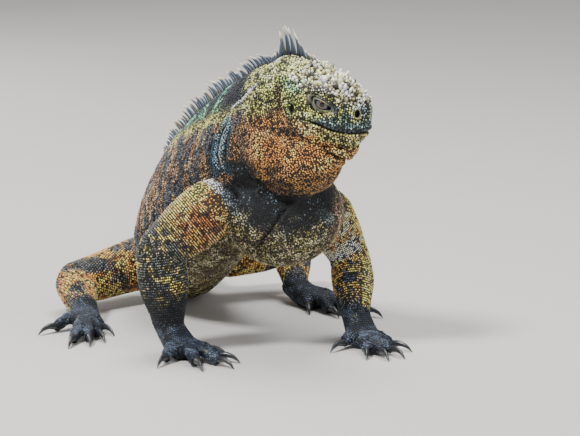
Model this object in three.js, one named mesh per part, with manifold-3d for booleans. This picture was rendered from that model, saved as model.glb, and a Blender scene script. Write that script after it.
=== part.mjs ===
// A life-size marine iguana, propped on straight forelegs with its head turned to its left.
// Millimetres, +X towards the head, +Y to the animal's left, +Z up, standing on Z = 0.
import * as THREE from "three";
import { mergeVertices } from "three/addons/utils/BufferGeometryUtils.js";
import Module from "manifold-3d";

const wasm = await Module();
wasm.setup();

// Driving dimensions of an adult male, snout to vent about 360 mm.
const HEAD_LENGTH = 54;
const SKIN_GAP = 0.3;
const HEAD_YAW = 25;
const HEAD_PITCH = 6;
const EYE_RADIUS = 6.6;
const CLAW_LENGTH = 15;
const TOE_END = 1.5;
const CREST_SEED = 11;

// Where the two rings of a domed end stand, as shares of its depth.
const DOME_STEPS = [0.45, 0.85];

const RAD = Math.PI / 180;
const UP = new THREE.Vector3(0, 0, 1);
const vec = (p) => new THREE.Vector3(...p);

// A repeatable random number from 0 to 1.
function seeded(seed) {
  let state = seed;
  return () => {
    state = (state * 16807) % 2147483647;
    return state / 2147483647;
  };
}

// Solids from closed three.js geometry, and back.
function solid(geometry) {
  const plain = geometry.clone();
  plain.deleteAttribute("normal");
  plain.deleteAttribute("uv");
  const merged = mergeVertices(plain, 1e-4);
  return new wasm.Manifold(
    new wasm.Mesh({
      numProp: 3,
      vertProperties: merged.getAttribute("position").array,
      triVerts: new Uint32Array(merged.index.array),
    }),
  );
}

function geometryOf(body) {
  const mesh = body.getMesh();
  const positions = new Float32Array(mesh.numVert * 3);
  for (let i = 0; i < mesh.numVert; i += 1)
    positions.set(mesh.vertProperties.subarray(i * mesh.numProp, i * mesh.numProp + 3), i * 3);
  return new THREE.BufferGeometry()
    .setAttribute("position", new THREE.BufferAttribute(positions, 3))
    .setIndex(new THREE.BufferAttribute(mesh.triVerts, 1));
}

const fuse = (pieces) => pieces.reduce((sum, piece) => sum.add(piece));

// Keeps what lies beyond a point in a direction.
function beyond(body, point, direction) {
  const normal = direction.clone().normalize();
  return body.trimByPlane(normal.toArray(), normal.dot(point));
}

const aboveFloor = (body) => body.trimByPlane([0, 0, 1], 0);

// The one closed surface with the most volume: loose scraps and sealed hollows are left out.
function largest(body) {
  const bodies = body.decompose();
  return bodies.reduce((a, b) => (a.volume() > b.volume() ? a : b));
}

// A body form: stations along a smooth line, each with its half width and its reach up and down.
class Form {
  constructor(stations, { power = 2, powerAbove = power, up = UP } = {}) {
    this.stations = stations;
    this.power = power;
    this.powerAbove = powerAbove;
    this.up = up;
    this.last = stations.length - 1;
    this.curve = new THREE.CatmullRomCurve3(stations.map((s) => vec(s.at)));
  }

  value(key, u) {
    const i = Math.min(Math.floor(u), this.last - 1);
    const t = u - i;
    const read = (k) => this.stations[Math.min(Math.max(k, 0), this.last)][key] ?? 0;
    const [a, b, c, d] = [read(i - 1), read(i), read(i + 1), read(i + 2)];
    return b + 0.5 * t * (c - a + t * (2 * a - 5 * b + 4 * c - d + t * (3 * (b - c) + d - a)));
  }

  at(u) {
    const along = this.curve.getTangent(u / this.last);
    const left = new THREE.Vector3().crossVectors(this.up, along).normalize();
    const above = new THREE.Vector3().crossVectors(along, left);
    const roll = this.value("roll", u) * RAD;
    left.applyAxisAngle(along, roll);
    above.applyAxisAngle(along, roll);
    return {
      centre: this.curve.getPoint(u / this.last),
      along,
      left,
      above,
      side: this.value("side", u),
      up: this.value("up", u),
      down: this.value("down", u),
    };
  }

  // The skin point at a turn round the line, from 0 at the left side through 90 on top.
  skin(u, degrees, grow = 0) {
    const place = this.at(u);
    return this.ringPoint(place, degrees * RAD, 1, 0, grow);
  }

  ringPoint(place, angle, shrink, ahead, grow) {
    const c = Math.cos(angle);
    const s = Math.sin(angle);
    const power = s > 0 ? this.powerAbove : this.power;
    const bend = (v) => Math.sign(v) * Math.abs(v) ** (2 / power);
    const tall = s > 0 ? place.up : place.down;
    return place.centre
      .clone()
      .addScaledVector(place.left, (place.side * shrink + grow) * bend(c))
      .addScaledVector(place.above, (tall * shrink + grow) * bend(s))
      .addScaledVector(place.along, ahead);
  }

  // The closed solid between two places on the line, with flat or domed ends.
  body({ from = 0, to = this.last, rings, sides = 12, grow = 0, domes = [0, 0] } = {}) {
    const rows = [];
    const start = this.at(from);
    const end = this.at(to);
    const domed = (place, depth, sign) =>
      DOME_STEPS.map((share) => ({
        place,
        shrink: Math.sqrt(1 - share ** 2),
        ahead: sign * depth * share,
      }));
    if (domes[0]) rows.push(...domed(start, domes[0], -1).reverse());
    for (let i = 0; i <= rings; i += 1) {
      const place = this.at(from + ((to - from) * i) / rings);
      const push = i === 0 && !domes[0] ? -grow : i === rings && !domes[1] ? grow : 0;
      rows.push({ place, shrink: 1, ahead: push });
    }
    if (domes[1]) rows.push(...domed(end, domes[1], 1));
    const positions = [];
    for (const { place, shrink, ahead } of rows)
      for (let k = 0; k < sides; k += 1) {
        const angle = (2 * Math.PI * (k + 0.5)) / sides;
        positions.push(...this.ringPoint(place, angle, shrink, ahead, grow).toArray());
      }
    const tail = start.centre.clone().addScaledVector(start.along, -(domes[0] + grow));
    const nose = end.centre.clone().addScaledVector(end.along, domes[1] + grow);
    positions.push(...tail.toArray(), ...nose.toArray());
    return solid(tube(positions, rows.length, sides));
  }
}

// Triangles for rings of points closed by one point at each end, which are last in the list.
function tube(positions, rows, sides) {
  const index = [];
  const first = rows * sides;
  for (let k = 0; k < sides; k += 1) {
    const next = (k + 1) % sides;
    index.push(first, next, k);
    index.push(first + 1, (rows - 1) * sides + k, (rows - 1) * sides + next);
    for (let row = 0; row < rows - 1; row += 1) {
      const a = row * sides + k;
      const b = row * sides + next;
      index.push(a, b, b + sides, a, b + sides, a + sides);
    }
  }
  return new THREE.BufferGeometry()
    .setAttribute("position", new THREE.Float32BufferAttribute(positions, 3))
    .setIndex(index);
}

// A round piece of three radii at a place, turned to three axes.
function ellipsoid(centre, radii, axes, sides = 12) {
  const ball = new THREE.SphereGeometry(1, sides, Math.round(sides * 0.6));
  ball.scale(...radii);
  ball.applyMatrix4(new THREE.Matrix4().makeBasis(...axes).setPosition(centre));
  return solid(ball);
}

// A tapered piece through a few points, for lips, lids and ridges.
function ridge(points, radii, sides = 6) {
  const stations = points.map((p, i) => {
    const radius = radii[i];
    return { at: p.toArray(), side: radius, up: radius, down: radius };
  });
  const domes = [radii[0] * 0.6, radii.at(-1) * 0.6];
  return new Form(stations).body({ rings: points.length - 1, sides, domes });
}

// The trunk: tail end of the pelvis, pelvis, loin, belly, ribs, shoulders, neck and nape.
const trunk = new Form(
  [
    { at: [-214, 67, 24], side: 22, up: 22, down: 26 },
    { at: [-190, 49, 33], side: 34, up: 32, down: 34, roll: 8 },
    { at: [-156, 28, 56], side: 43, up: 40, down: 44, roll: 20 },
    { at: [-112, 9, 85], side: 48, up: 47, down: 50, roll: 20 },
    { at: [-62, 3, 118], side: 49, up: 53, down: 53, roll: 14 },
    { at: [-10, 0, 150], side: 44, up: 52, down: 46, roll: 8 },
    { at: [22, 1, 173], side: 35, up: 45, down: 36, roll: 4 },
    { at: [42, 5, 185], side: 29, up: 34, down: 30 },
  ],
  { power: 2.15, powerAbove: 1.5 },
);
// The cuts fall on the rings of the whole trunk, three to a station, so the pieces keep its skin.
const [LOIN_CUT, NECK_CUT, HEAD_CUT] = [8 / 3, 16 / 3, 20 / 3];

// The breast between the forelegs, broader on the side that reaches lower.
const breast = {
  centre: new THREE.Vector3(6, 6, 101),
  radii: [36, 47, 41],
  axes: [
    new THREE.Vector3(0.88, -0.05, 0.47),
    new THREE.Vector3(0.03, 1, 0.05),
    new THREE.Vector3(-0.47, -0.03, 0.88),
  ],
};

// The tail lies on the floor in an S behind the pelvis.
// Each row: distance back, shift to the left, height.
const TAIL_ROOT = new THREE.Vector2(-190, 49);
const TAIL_FORWARD = new THREE.Vector2(0.819, -0.574);
const TAIL_LEFT = new THREE.Vector2(0.574, 0.819);
const tailLine = [
  [24, -1, 25],
  [66, -12, 22],
  [120, -25, 19],
  [180, -27, 16.5],
  [240, -11, 14.5],
  [300, 18, 12.5],
  [360, 50, 10.5],
  [420, 74, 8.5],
  [480, 84, 6.5],
  [530, 78, 4.5],
  [568, 64, 2.5],
];
const tail = new Form(
  tailLine.map(([back, shift, height], i) => {
    const at = [
      TAIL_ROOT.x - back * TAIL_FORWARD.x + shift * TAIL_LEFT.x,
      TAIL_ROOT.y - back * TAIL_FORWARD.y + shift * TAIL_LEFT.y,
      height,
    ];
    const thin = 1 - i / (tailLine.length - 1);
    return { at, side: 1.6 + 21 * thin ** 1.25, up: height * 1.02, down: height + 0.8 };
  }),
  { power: 2 },
);
const TAIL_CUTS = [0, 3.2, 6.6, 10];

// The head has its own frame: origin between the ears at eye height, x to the snout, y to the left,
// z to the crown.
const headOrigin = new THREE.Vector3(36, 2, 191);
const headForward = new THREE.Vector3(
  Math.cos(HEAD_YAW * RAD) * Math.cos(HEAD_PITCH * RAD),
  Math.sin(HEAD_YAW * RAD) * Math.cos(HEAD_PITCH * RAD),
  -Math.sin(HEAD_PITCH * RAD),
);
const headLeft = new THREE.Vector3().crossVectors(UP, headForward).normalize();
const headUp = new THREE.Vector3().crossVectors(headForward, headLeft);
const headAxes = [headForward, headLeft, headUp];

function inHead(x, y, z) {
  return headOrigin
    .clone()
    .addScaledVector(headForward, x)
    .addScaledVector(headLeft, y)
    .addScaledVector(headUp, z);
}

// Skull profile. Each row: distance ahead, half width, crown height, jaw depth.
const skullRows = [
  [-28, 21, 20, 27],
  [-16, 26, 28.5, 30],
  [-4, 27.5, 29, 31],
  [8, 28, 26.5, 31.5],
  [18, 26, 23, 31.5],
  [28, 22.5, 19.5, 31],
  [37, 18, 16.5, 30.5],
  [44, 14.5, 13.5, 29],
  [49.5, 12, 9.5, 26.5],
  [HEAD_LENGTH - 1, 9, 4, 22],
];
const SKULL_AXIS = -4;
const skull = new Form(
  skullRows.map(([x, side, crown, jaw]) => ({
    at: inHead(x, 0, SKULL_AXIS).toArray(),
    side,
    up: crown - SKULL_AXIS,
    down: jaw + SKULL_AXIS,
  })),
  { power: 2.5, up: headUp },
);

// The mouth line seen from the side, from the corner to the lips.
const mouthLine = [
  [24, -10.5],
  [31, -12.5],
  [40, -16],
  [48, -17],
  [HEAD_LENGTH + 6, -15.5],
];

// A thin slit through the head along the mouth, and down behind it to free the jaw.
function mouthSlit() {
  const half = SKIN_GAP / 2;
  const line = [[25, -60], [24.5, -20], ...mouthLine];
  const outline = new THREE.Shape();
  outline.moveTo(line[0][0] - half, line[0][1]);
  line.slice(1).forEach(([x, z]) => outline.lineTo(x - half, z + half));
  [...line].reverse().forEach(([x, z]) => outline.lineTo(x + half, z - half));
  const slab = new THREE.ExtrudeGeometry(outline, { depth: 120, bevelEnabled: false });
  slab.translate(0, 0, -60);
  const sideways = headLeft.clone().negate();
  const turn = new THREE.Matrix4().makeBasis(headForward, headUp, sideways);
  slab.applyMatrix4(turn.setPosition(headOrigin));
  return solid(slab);
}

// A point on the skull at a distance ahead and a height, on the left (1) or right (-1).
function cheek(x, z, hand, out = 0) {
  const rows = skullRows;
  let i = 0;
  while (i < rows.length - 2 && rows[i + 1][0] < x) i += 1;
  const t = (x - rows[i][0]) / (rows[i + 1][0] - rows[i][0]);
  const [side, crown, jaw] = [1, 2, 3].map((k) => rows[i][k] + (rows[i + 1][k] - rows[i][k]) * t);
  const reach = z > SKULL_AXIS ? crown - SKULL_AXIS : jaw + SKULL_AXIS;
  const share = Math.min(Math.abs(z - SKULL_AXIS) / reach, 0.999);
  const wide = side * (1 - share ** skull.power) ** (1 / skull.power);
  return inHead(x, hand * (wide + out), z);
}

const eyePlace = (hand) => inHead(26.5, hand * 18.2, 2.5);
function eyeBall(hand, grow = 0) {
  const radius = EYE_RADIUS + grow;
  return ellipsoid(eyePlace(hand), [radius, radius, radius], headAxes, 12);
}

// Axes of a feature that faces outwards: towards its front end, up, and out of the skin.
function facing(hand, outward, tilt) {
  const out = inHead(...outward).sub(headOrigin).normalize();
  const fore = new THREE.Vector3().crossVectors(headUp, out).normalize();
  fore.applyAxisAngle(out, hand * tilt * RAD);
  return [fore, new THREE.Vector3().crossVectors(out, fore), out];
}

// A closed ring of skin, for the lids and the nostril rims.
function ring(place, axes, radius, thick, [long, tall]) {
  const loop = new THREE.TorusGeometry(radius, thick, 5, 10);
  loop.scale(long, tall, 1);
  loop.applyMatrix4(new THREE.Matrix4().makeBasis(...axes).setPosition(place));
  return solid(loop);
}

const NOSTRIL = { x: 49.5, z: -1.5 };

function skullExtras(hand) {
  const eyeAxes = facing(hand, [2, hand * 29, 3], -14);
  const lids = ring(eyePlace(hand).addScaledVector(eyeAxes[2], 4.3), eyeAxes, 7, 2.4, [1.18, 0.7]);
  const browLine = [
    [10, 12, -2],
    [19, 11.5, -1.2],
    [29, 10, -0.8],
    [40, 6, -1.6],
  ];
  const brow = ridge(
    browLine.map(([x, z, out]) => cheek(x, z, hand, out)),
    [3, 4.2, 4.2, 2.6],
  );
  const jowl = ellipsoid(cheek(8, -15, hand, -10), [16, 12, 13], headAxes, 10);
  const nostrilAxes = facing(hand, [14, hand * 20, 4], 0);
  const nostrilRim = ring(cheek(NOSTRIL.x, NOSTRIL.z, hand, 0.3), nostrilAxes, 2.4, 1.1, [1, 1.25]);
  return [lids, brow, jowl, nostrilRim];
}

// The upper lip runs round the snout just above the mouth line.
function upperLip() {
  const half = [
    [24, -8.2, -1.4],
    [31, -9.6, -0.7],
    [39, -12.6, -0.5],
    [46.5, -14, -0.5],
    [51, -13.6, -0.9],
  ];
  const right = half.map(([x, z, out]) => cheek(x, z, -1, out));
  const left = half.map(([x, z, out]) => cheek(x, z, 1, out)).reverse();
  const thick = [1.6, 2.4, 2.7, 2.7, 2.7];
  const front = inHead(HEAD_LENGTH - 1.4, 0, -12.6);
  return ridge([...right, front, ...left], [...thick, thick.at(-1), ...thick.toReversed()]);
}

function skullHollows(hand) {
  const inner = cheek(NOSTRIL.x - 1, NOSTRIL.z, hand, -4);
  const outer = cheek(NOSTRIL.x + 1, NOSTRIL.z, hand, 4);
  const hole = ridge([inner, outer], [1.5, 1.7]);
  const socket = eyeBall(hand, SKIN_GAP);
  const ear = ellipsoid(cheek(8, -4, hand, 3.2), [4, 5, 8], headAxes, 10);
  return [hole, socket, ear];
}

// Pyramid scales on the crown and snout, tallest on the brow and snout, varied as real ones are.
function crownScales() {
  const random = seeded(CREST_SEED);
  const cones = [];
  for (let row = 0; row < 9; row += 1) {
    const x = 15 + row * 4.4;
    const count = row % 2 ? 4 : 5;
    for (let k = 0; k < count; k += 1) {
      const turn = 90 + (k - (count - 1) / 2) * 25 + (random() - 0.5) * 7;
      const ahead = x + (random() - 0.5) * 2;
      const u = skullRows.findIndex((r) => r[0] > ahead) - 1;
      const t = (ahead - skullRows[u][0]) / (skullRows[u + 1][0] - skullRows[u][0]);
      const foot = skull.skin(u + t, turn);
      const out = foot.clone().sub(inHead(ahead - 3, 0, SKULL_AXIS)).normalize();
      const tall = 2.6 + 2.2 * random() + (row > 4 ? 0.8 : 0);
      cones.push(cone(foot, out, 2.7 + random() * 0.5, tall));
    }
  }
  return cones;
}

function cone(foot, out, radius, tall) {
  const sunk = 2.4;
  const shape = new THREE.ConeGeometry(radius, tall + sunk, 4);
  shape.translate(0, (tall + sunk) / 2 - sunk, 0);
  const turn = new THREE.Quaternion().setFromUnitVectors(new THREE.Vector3(0, 1, 0), out);
  shape.applyQuaternion(turn);
  shape.translate(...foot.toArray());
  return solid(shape);
}

// The swollen throat under the jaw, from the chin back to the collar.
const throat = new Form(
  [
    { at: inHead(-40, 0, -22).toArray(), side: 25, up: 18, down: 17 },
    { at: inHead(-24, 0, -32).toArray(), side: 31, up: 24, down: 27 },
    { at: inHead(-8, 0, -39).toArray(), side: 32, up: 28, down: 33 },
    { at: inHead(8, 0, -41).toArray(), side: 29, up: 26, down: 31 },
    { at: inHead(21, 0, -37).toArray(), side: 22, up: 18, down: 24 },
    { at: inHead(30, 0, -33).toArray(), side: 15, up: 11, down: 14.5 },
    { at: inHead(40, 0, -30.5).toArray(), side: 11, up: 9, down: 8.2 },
  ],
  { power: 2.1, up: headUp },
);

// A spine of the crest: a flat blade that leans and curves towards the tail.
function crestSpine(foot, along, above, left, tall, long) {
  const [sunk, thick] = [3.5, Math.min(1.9, 0.8 + tall * 0.07)];
  const positions = [];
  const levels = [
    { rise: -sunk, back: 0, long, thick },
    { rise: tall * 0.5, back: tall * 0.12, long: long * 0.72, thick: thick * 0.75 },
  ];
  for (const level of levels)
    for (const [fore, aside] of [[0, -1], [1, 0], [0, 1], [-1, 0]])
      positions.push(
        ...foot
          .clone()
          .addScaledVector(above, level.rise)
          .addScaledVector(along, (fore * level.long) / 2 - level.back)
          .addScaledVector(left, (aside * level.thick) / 2)
          .toArray(),
      );
  const root = foot.clone().addScaledVector(above, -sunk);
  const tip = foot.clone().addScaledVector(above, tall).addScaledVector(along, -tall * 0.42);
  positions.push(...root.toArray(), ...tip.toArray());
  const blade = solid(tube(positions, 2, 4));
  return blade.volume() > 0 ? blade : solid(tube(mirrored(positions), 2, 4));
}

// The same blade with its rings the other way round.
function mirrored(positions) {
  const corner = (i) => positions.slice(3 * i, 3 * i + 3);
  return [3, 2, 1, 0, 7, 6, 5, 4, 8, 9].flatMap(corner);
}

// The crest along one form between two places, with its spacing and height read along the way.
function crest(form, from, to, spacing, height) {
  const random = seeded(CREST_SEED + Math.round(from * 100));
  const spines = [];
  let u = from;
  while (u < to) {
    const place = form.at(u);
    const step = spacing(u);
    const foot = form.skin(u, 90);
    const tall = height(u) * (0.86 + 0.28 * random());
    const lean = place.above.clone().addScaledVector(UP, 0.25).normalize();
    spines.push(crestSpine(foot, place.along, lean, place.left, tall, step * 0.86));
    const span = form.at(u + 0.02).centre.distanceTo(place.centre) / 0.02;
    u += step / span;
  }
  return spines;
}

// Crest heights: tallest on the nape, in scalloped groups over the shoulders, low over the loin.
function trunkHeight(u) {
  const back = 7 + 10 * Math.exp(-(((u - 4.5) / 1.4) ** 2));
  const scallop = 0.76 + 0.24 * Math.abs(Math.sin(Math.PI * (u - 0.15) * 1.9));
  return back * scallop * (u > 5.7 ? 0.7 : 1);
}

const napeHeight = (u) => 4 + 18 * Math.exp(-(((u - 1.25) / 0.95) ** 6));

const tailHeight = (u) => 1.6 + 4.6 * (1 - u / 10) ** 0.8;

// Limbs. Each bone runs from one joint to the next, with half widths at both ends and the middle.
const limbs = {
  foreleg_right: {
    root: [-6, -40, 110],
    joints: [[-8, -52, 106], [-23, -84, 78], [-20, -79, 25]],
    thick: [[22, 21, 17], [18, 18.5, 12.5]],
    hand: {
      aim: 4,
      palm: 21,
      width: 13.5,
      digits: [
        { turn: 52, root: 0.35, long: 17 },
        { turn: 26, root: 0.8, long: 25 },
        { turn: 5, root: 0.95, long: 30 },
        { turn: -22, root: 0.85, long: 29 },
        { turn: -58, root: 0.55, long: 21 },
      ],
    },
  },
  foreleg_left: {
    root: [0, 40, 100],
    joints: [[2, 48, 96], [-1, 72, 59], [26, 57, 25]],
    thick: [[19.5, 18, 15], [15.5, 16, 12]],
    hand: {
      aim: -14,
      palm: 21,
      width: 13,
      digits: [
        { turn: -56, root: 0.35, long: 16 },
        { turn: -20, root: 0.85, long: 25 },
        { turn: -3, root: 0.95, long: 30 },
        { turn: 13, root: 0.9, long: 29 },
        { turn: 36, root: 0.6, long: 22 },
      ],
    },
  },
  hindleg_right: {
    root: [-202, 32, 32],
    joints: [[-203, 22, 30], [-192, -50, 22], [-146, -72, 15]],
    thick: [[21, 19, 17], [16, 14.5, 10]],
    hand: {
      aim: -28,
      palm: 27,
      width: 12,
      digits: [
        { turn: 30, root: 0.5, long: 17 },
        { turn: 12, root: 0.85, long: 27 },
        { turn: -2, root: 0.95, long: 37 },
        { turn: -16, root: 0.9, long: 45 },
        { turn: -52, root: 0.3, long: 26 },
      ],
    },
  },
  hindleg_left: {
    root: [-176, 68, 34],
    joints: [[-172, 76, 36], [-162, 132, 38], [-122, 108, 15]],
    thick: [[20, 19, 14.5], [15, 14, 9.5]],
    hand: {
      aim: 2,
      palm: 27,
      width: 12,
      digits: [
        { turn: -34, root: 0.5, long: 17 },
        { turn: -14, root: 0.85, long: 27 },
        { turn: 0, root: 0.95, long: 37 },
        { turn: 14, root: 0.9, long: 45 },
        { turn: 48, root: 0.3, long: 26 },
      ],
    },
  },
};

const mix = (a, b, t) => a.map((v, i) => v + (b[i] - v) * t);

function boneForm(a, b, [start, middle, end]) {
  return new Form(
    [
      { at: a, side: start, up: start, down: start },
      { at: mix(a, b, 0.5), side: middle, up: middle, down: middle },
      { at: b, side: end, up: end, down: end },
    ],
    { power: 2.1 },
  );
}

const BONE = { rings: 4, sides: 11 };

function limbBodies({ root, joints, thick, hand }) {
  const upperForm = boneForm(joints[0], joints[1], thick[0]);
  const lowerForm = boneForm(joints[1], joints[2], thick[1]);
  const shoulder = ridge([vec(root), vec(joints[0])], [thick[0][0] * 0.9, thick[0][0]], 12);
  const upper = (grow) => upperForm.body({ ...BONE, grow, domes: [12, 13] });
  const lower = (grow) => lowerForm.body({ ...BONE, grow, domes: [11, 6] });
  return {
    upper: upper(0).add(shoulder),
    upperGrown: upper(SKIN_GAP),
    lower: lower(0),
    lowerGrown: lower(SKIN_GAP),
    hand: handBody(joints[2], hand),
  };
}

// A hand or foot: a low palm from the wrist, and arched digits that come down to the floor.
function handBody(wrist, { aim, palm, width, digits }) {
  const ahead = new THREE.Vector3(Math.cos(aim * RAD), Math.sin(aim * RAD), 0);
  const [x, y, z] = wrist;
  const along = (distance, height) => [x + ahead.x * distance, y + ahead.y * distance, height];
  const palmForm = new Form(
    [
      { at: along(-3, z), side: 10.5, up: 9, down: 10 },
      { at: along(palm * 0.45, z * 0.5 + 2), side: width * 0.92, up: 8, down: 10.5 },
      { at: along(palm * 0.85, 8.5), side: width, up: 7, down: 9.8 },
      { at: along(palm + 3, 7.5), side: width * 0.85, up: 6, down: 9 },
    ],
    { power: 2.3 },
  );
  const pieces = [palmForm.body({ rings: 4, sides: 11, domes: [5, 3] })];
  const claws = digits.map((digit) => {
    const direction = (aim + digit.turn) * RAD;
    const heading = new THREE.Vector3(Math.cos(direction), Math.sin(direction), 0);
    const start = vec(along(palm * digit.root, 0)).addScaledVector(heading, width * 0.35);
    const point = (distance, height) =>
      start.clone().addScaledVector(heading, distance).setZ(height).toArray();
    const reach = digit.long;
    const toe = new Form(
      [
        { at: point(-width * 0.5, 8.5), side: 5, up: 4.6, down: 5 },
        { at: point(reach * 0.25, 10.5), side: 5.2, up: 4.6, down: 4.8 },
        { at: point(reach * 0.65, 8.2), side: 4.8, up: 4.3, down: 4.8 },
        { at: point(reach, 4.6), side: 4.1, up: 3.7, down: 5.2 },
      ],
      { power: 2.2 },
    );
    pieces.push(toe.body({ rings: 3, sides: 6, domes: [0, TOE_END] }));
    return claw(toe.at(toe.last));
  });
  return { body: fuse(pieces), claws };
}

// A claw leaves the toe's end face and curves down to the floor.
function claw(end) {
  const ahead = end.along.clone().setZ(0).normalize();
  const root = TOE_END + SKIN_GAP + 0.2;
  const point = (share, height) =>
    end.centre
      .clone()
      .addScaledVector(ahead, root + CLAW_LENGTH * share)
      .setZ(height)
      .toArray();
  const form = new Form(
    [
      { at: point(0, 5), side: 2.5, up: 2.8, down: 2.6 },
      { at: point(0.34, 5.6), side: 2, up: 2.3, down: 2 },
      { at: point(0.7, 4), side: 1.3, up: 1.6, down: 1.3 },
      { at: point(1, 0.7), side: 0.5, up: 0.6, down: 0.5 },
    ],
    { power: 2 },
  );
  return form.body({ rings: 3, sides: 5 });
}

// Materials, as the photograph shows the skin.
const skinTone = (color, roughness = 0.75) =>
  new THREE.MeshStandardMaterial({ color, roughness, metalness: 0 });
const materials = {
  head: skinTone(0x8b8d63),
  throat: skinTone(0x9a5a2c),
  neck: skinTone(0x7d8248),
  torso: skinTone(0x5a4a38),
  tail: skinTone(0x3c3a35),
  arm: skinTone(0x7a6a35),
  hand: skinTone(0x23272b),
  eye: skinTone(0x3d2f26, 0.15),
  claw: skinTone(0x1c1d20, 0.35),
};

const part = new THREE.Group();
const animal = new THREE.Group();
part.add(animal);

function place(name, body, material) {
  const mesh = new THREE.Mesh(geometryOf(largest(aboveFloor(body))), material);
  mesh.name = name;
  animal.add(mesh);
}

const trunkPiece = (from, to, grow = 0) => {
  const rings = Math.max(3, Math.round((to - from) * 3));
  return trunk.body({ from, to, rings, sides: 20, grow });
};
const gapAt = (form, u) => SKIN_GAP / (form.at(u + 0.01).centre.distanceTo(form.at(u).centre) / 0.01);

function chestPiece(grow) {
  const radii = breast.radii.map((r) => r + grow);
  return ellipsoid(breast.centre, radii, breast.axes, 16);
}

const nodes = new Map();
const wholeTrunk = trunkPiece(0, trunk.last, SKIN_GAP).add(chestPiece(SKIN_GAP));
const neckStart = NECK_CUT + gapAt(trunk, NECK_CUT);
const neckPiece = trunkPiece(neckStart, HEAD_CUT).subtract(chestPiece(SKIN_GAP));
const headFace = trunk.at(HEAD_CUT);
const headPlane = headFace.centre.clone().addScaledVector(headFace.along, SKIN_GAP);
const spineStep = { trunk: () => 5.8, nape: () => 3.7, tail: (u) => 8.5 + 3 * (u / 10) };

const backSpines = (from, to, spacing) => crest(trunk, from, to, spacing, trunkHeight);

nodes.set("torso_rear", {
  body: fuse([trunkPiece(0, LOIN_CUT), ...backSpines(0.5, LOIN_CUT - 0.1, spineStep.trunk)]),
  material: materials.torso,
});
nodes.set("torso_front", {
  body: fuse([
    trunkPiece(LOIN_CUT + gapAt(trunk, LOIN_CUT), NECK_CUT),
    chestPiece(0),
    ...backSpines(LOIN_CUT + 0.12, NECK_CUT - 0.08, spineStep.trunk),
  ]),
  material: materials.torso,
});
nodes.set("neck", {
  body: fuse([neckPiece, ...backSpines(NECK_CUT + 0.15, HEAD_CUT - 0.02, spineStep.nape)]),
  material: materials.neck,
});

// The tail in three lengths, the first cut clear of the pelvis.
for (let i = 0; i < 3; i += 1) {
  const from = TAIL_CUTS[i] + (i ? gapAt(tail, TAIL_CUTS[i]) : 0);
  const to = TAIL_CUTS[i + 1];
  const length = tail.body({ from, to, rings: 7, sides: 10, domes: [i ? 0 : 6, i === 2 ? 3 : 0] });
  const bodyOnly = i ? length : length.subtract(wholeTrunk);
  const [first, last] = [from + (i ? 0.12 : 0.5), to - (i === 2 ? 0.3 : 0.12)];
  const spines = crest(tail, first, last, spineStep.tail, tailHeight);
  nodes.set(["tail_base", "tail_middle", "tail_tip"][i], {
    body: fuse([largest(bodyOnly), ...spines]),
    material: materials.tail,
  });
}

// The head, less the jaw, with its brows, lids, lips, nostrils and crown scales.
const slit = mouthSlit();
const skullBody = skull.body({ rings: 14, sides: 16, domes: [0, 2.5] });
const features = fuse([skullBody, upperLip(), ...skullExtras(1), ...skullExtras(-1)]);
const hollows = fuse([...skullHollows(1), ...skullHollows(-1)]);
const wholeHead = beyond(features.subtract(hollows), headPlane, headFace.along);
const headParts = wholeHead
  .subtract(slit)
  .decompose()
  .sort((a, b) => b.volume() - a.volume());
const napeSpines = crest(skull, 0.3, 2.7, spineStep.nape, napeHeight);
nodes.set("head", {
  body: fuse([headParts[0], ...crownScales(), ...napeSpines]),
  material: materials.head,
});
nodes.set("jaw", { body: headParts[1], material: materials.head });
for (const [name, hand] of [["left", 1], ["right", -1]]) {
  nodes.set("eye_" + name, { body: eyeBall(hand), material: materials.eye });
}

// The throat is cut clear of the head, neck and chest.
const grownSkull = skull.body({ rings: 14, sides: 16, grow: SKIN_GAP, domes: [0, 2.5] });
const pouch = throat.body({ rings: 7, sides: 14, domes: [10, 9] });
nodes.set("throat", {
  body: largest(pouch.subtract(grownSkull).subtract(wholeTrunk)),
  material: materials.throat,
});

const segmentNames = { foreleg: ["upper_arm", "forearm", "hand"], hindleg: ["thigh", "shin", "foot"] };
for (const [name, limb] of Object.entries(limbs)) {
  const [kind, side] = name.split("_");
  const [upperName, lowerName, handName] = segmentNames[kind];
  const made = limbBodies(limb);
  const clearTrunk = (body) => body.subtract(wholeTrunk);
  const shank = largest(clearTrunk(made.lower.subtract(made.upperGrown)));
  const foot = made.hand.body.subtract(made.lowerGrown).subtract(made.upperGrown);
  nodes.set(upperName + "_" + side, { body: largest(clearTrunk(made.upper)), material: materials.arm });
  nodes.set(lowerName + "_" + side, { body: shank, material: materials.arm });
  nodes.set(handName + "_" + side, { body: largest(clearTrunk(foot)), material: materials.hand });
  made.hand.claws.forEach((nail, i) => {
    const carrier = handName + "_" + side;
    nodes.set(`claw_${carrier}_${i + 1}`, { body: nail, material: materials.claw, cutBy: carrier });
  });
}

for (const [name, { body, material, cutBy }] of nodes) {
  const clear = cutBy ? body.subtract(nodes.get(cutBy).body) : body;
  place(name, clear, material);
}

// The part's origin is the middle of its footprint on the floor.
const box = new THREE.Box3().setFromObject(animal);
animal.position.set(-(box.min.x + box.max.x) / 2, -(box.min.y + box.max.y) / 2, 0);

export default part;
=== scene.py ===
"""Looks of a life-size marine iguana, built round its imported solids.

Laid out as a Blender add-on and run as a script. Sizes are millimetres in the animal's own
frame (+X towards the head, +Y to its left, +Z up), moved and scaled to metres as meshes are made.
"""

import math

import bpy
import numpy as np
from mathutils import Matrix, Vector
from mathutils.bvhtree import BVHTree
from mathutils.kdtree import KDTree


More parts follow.
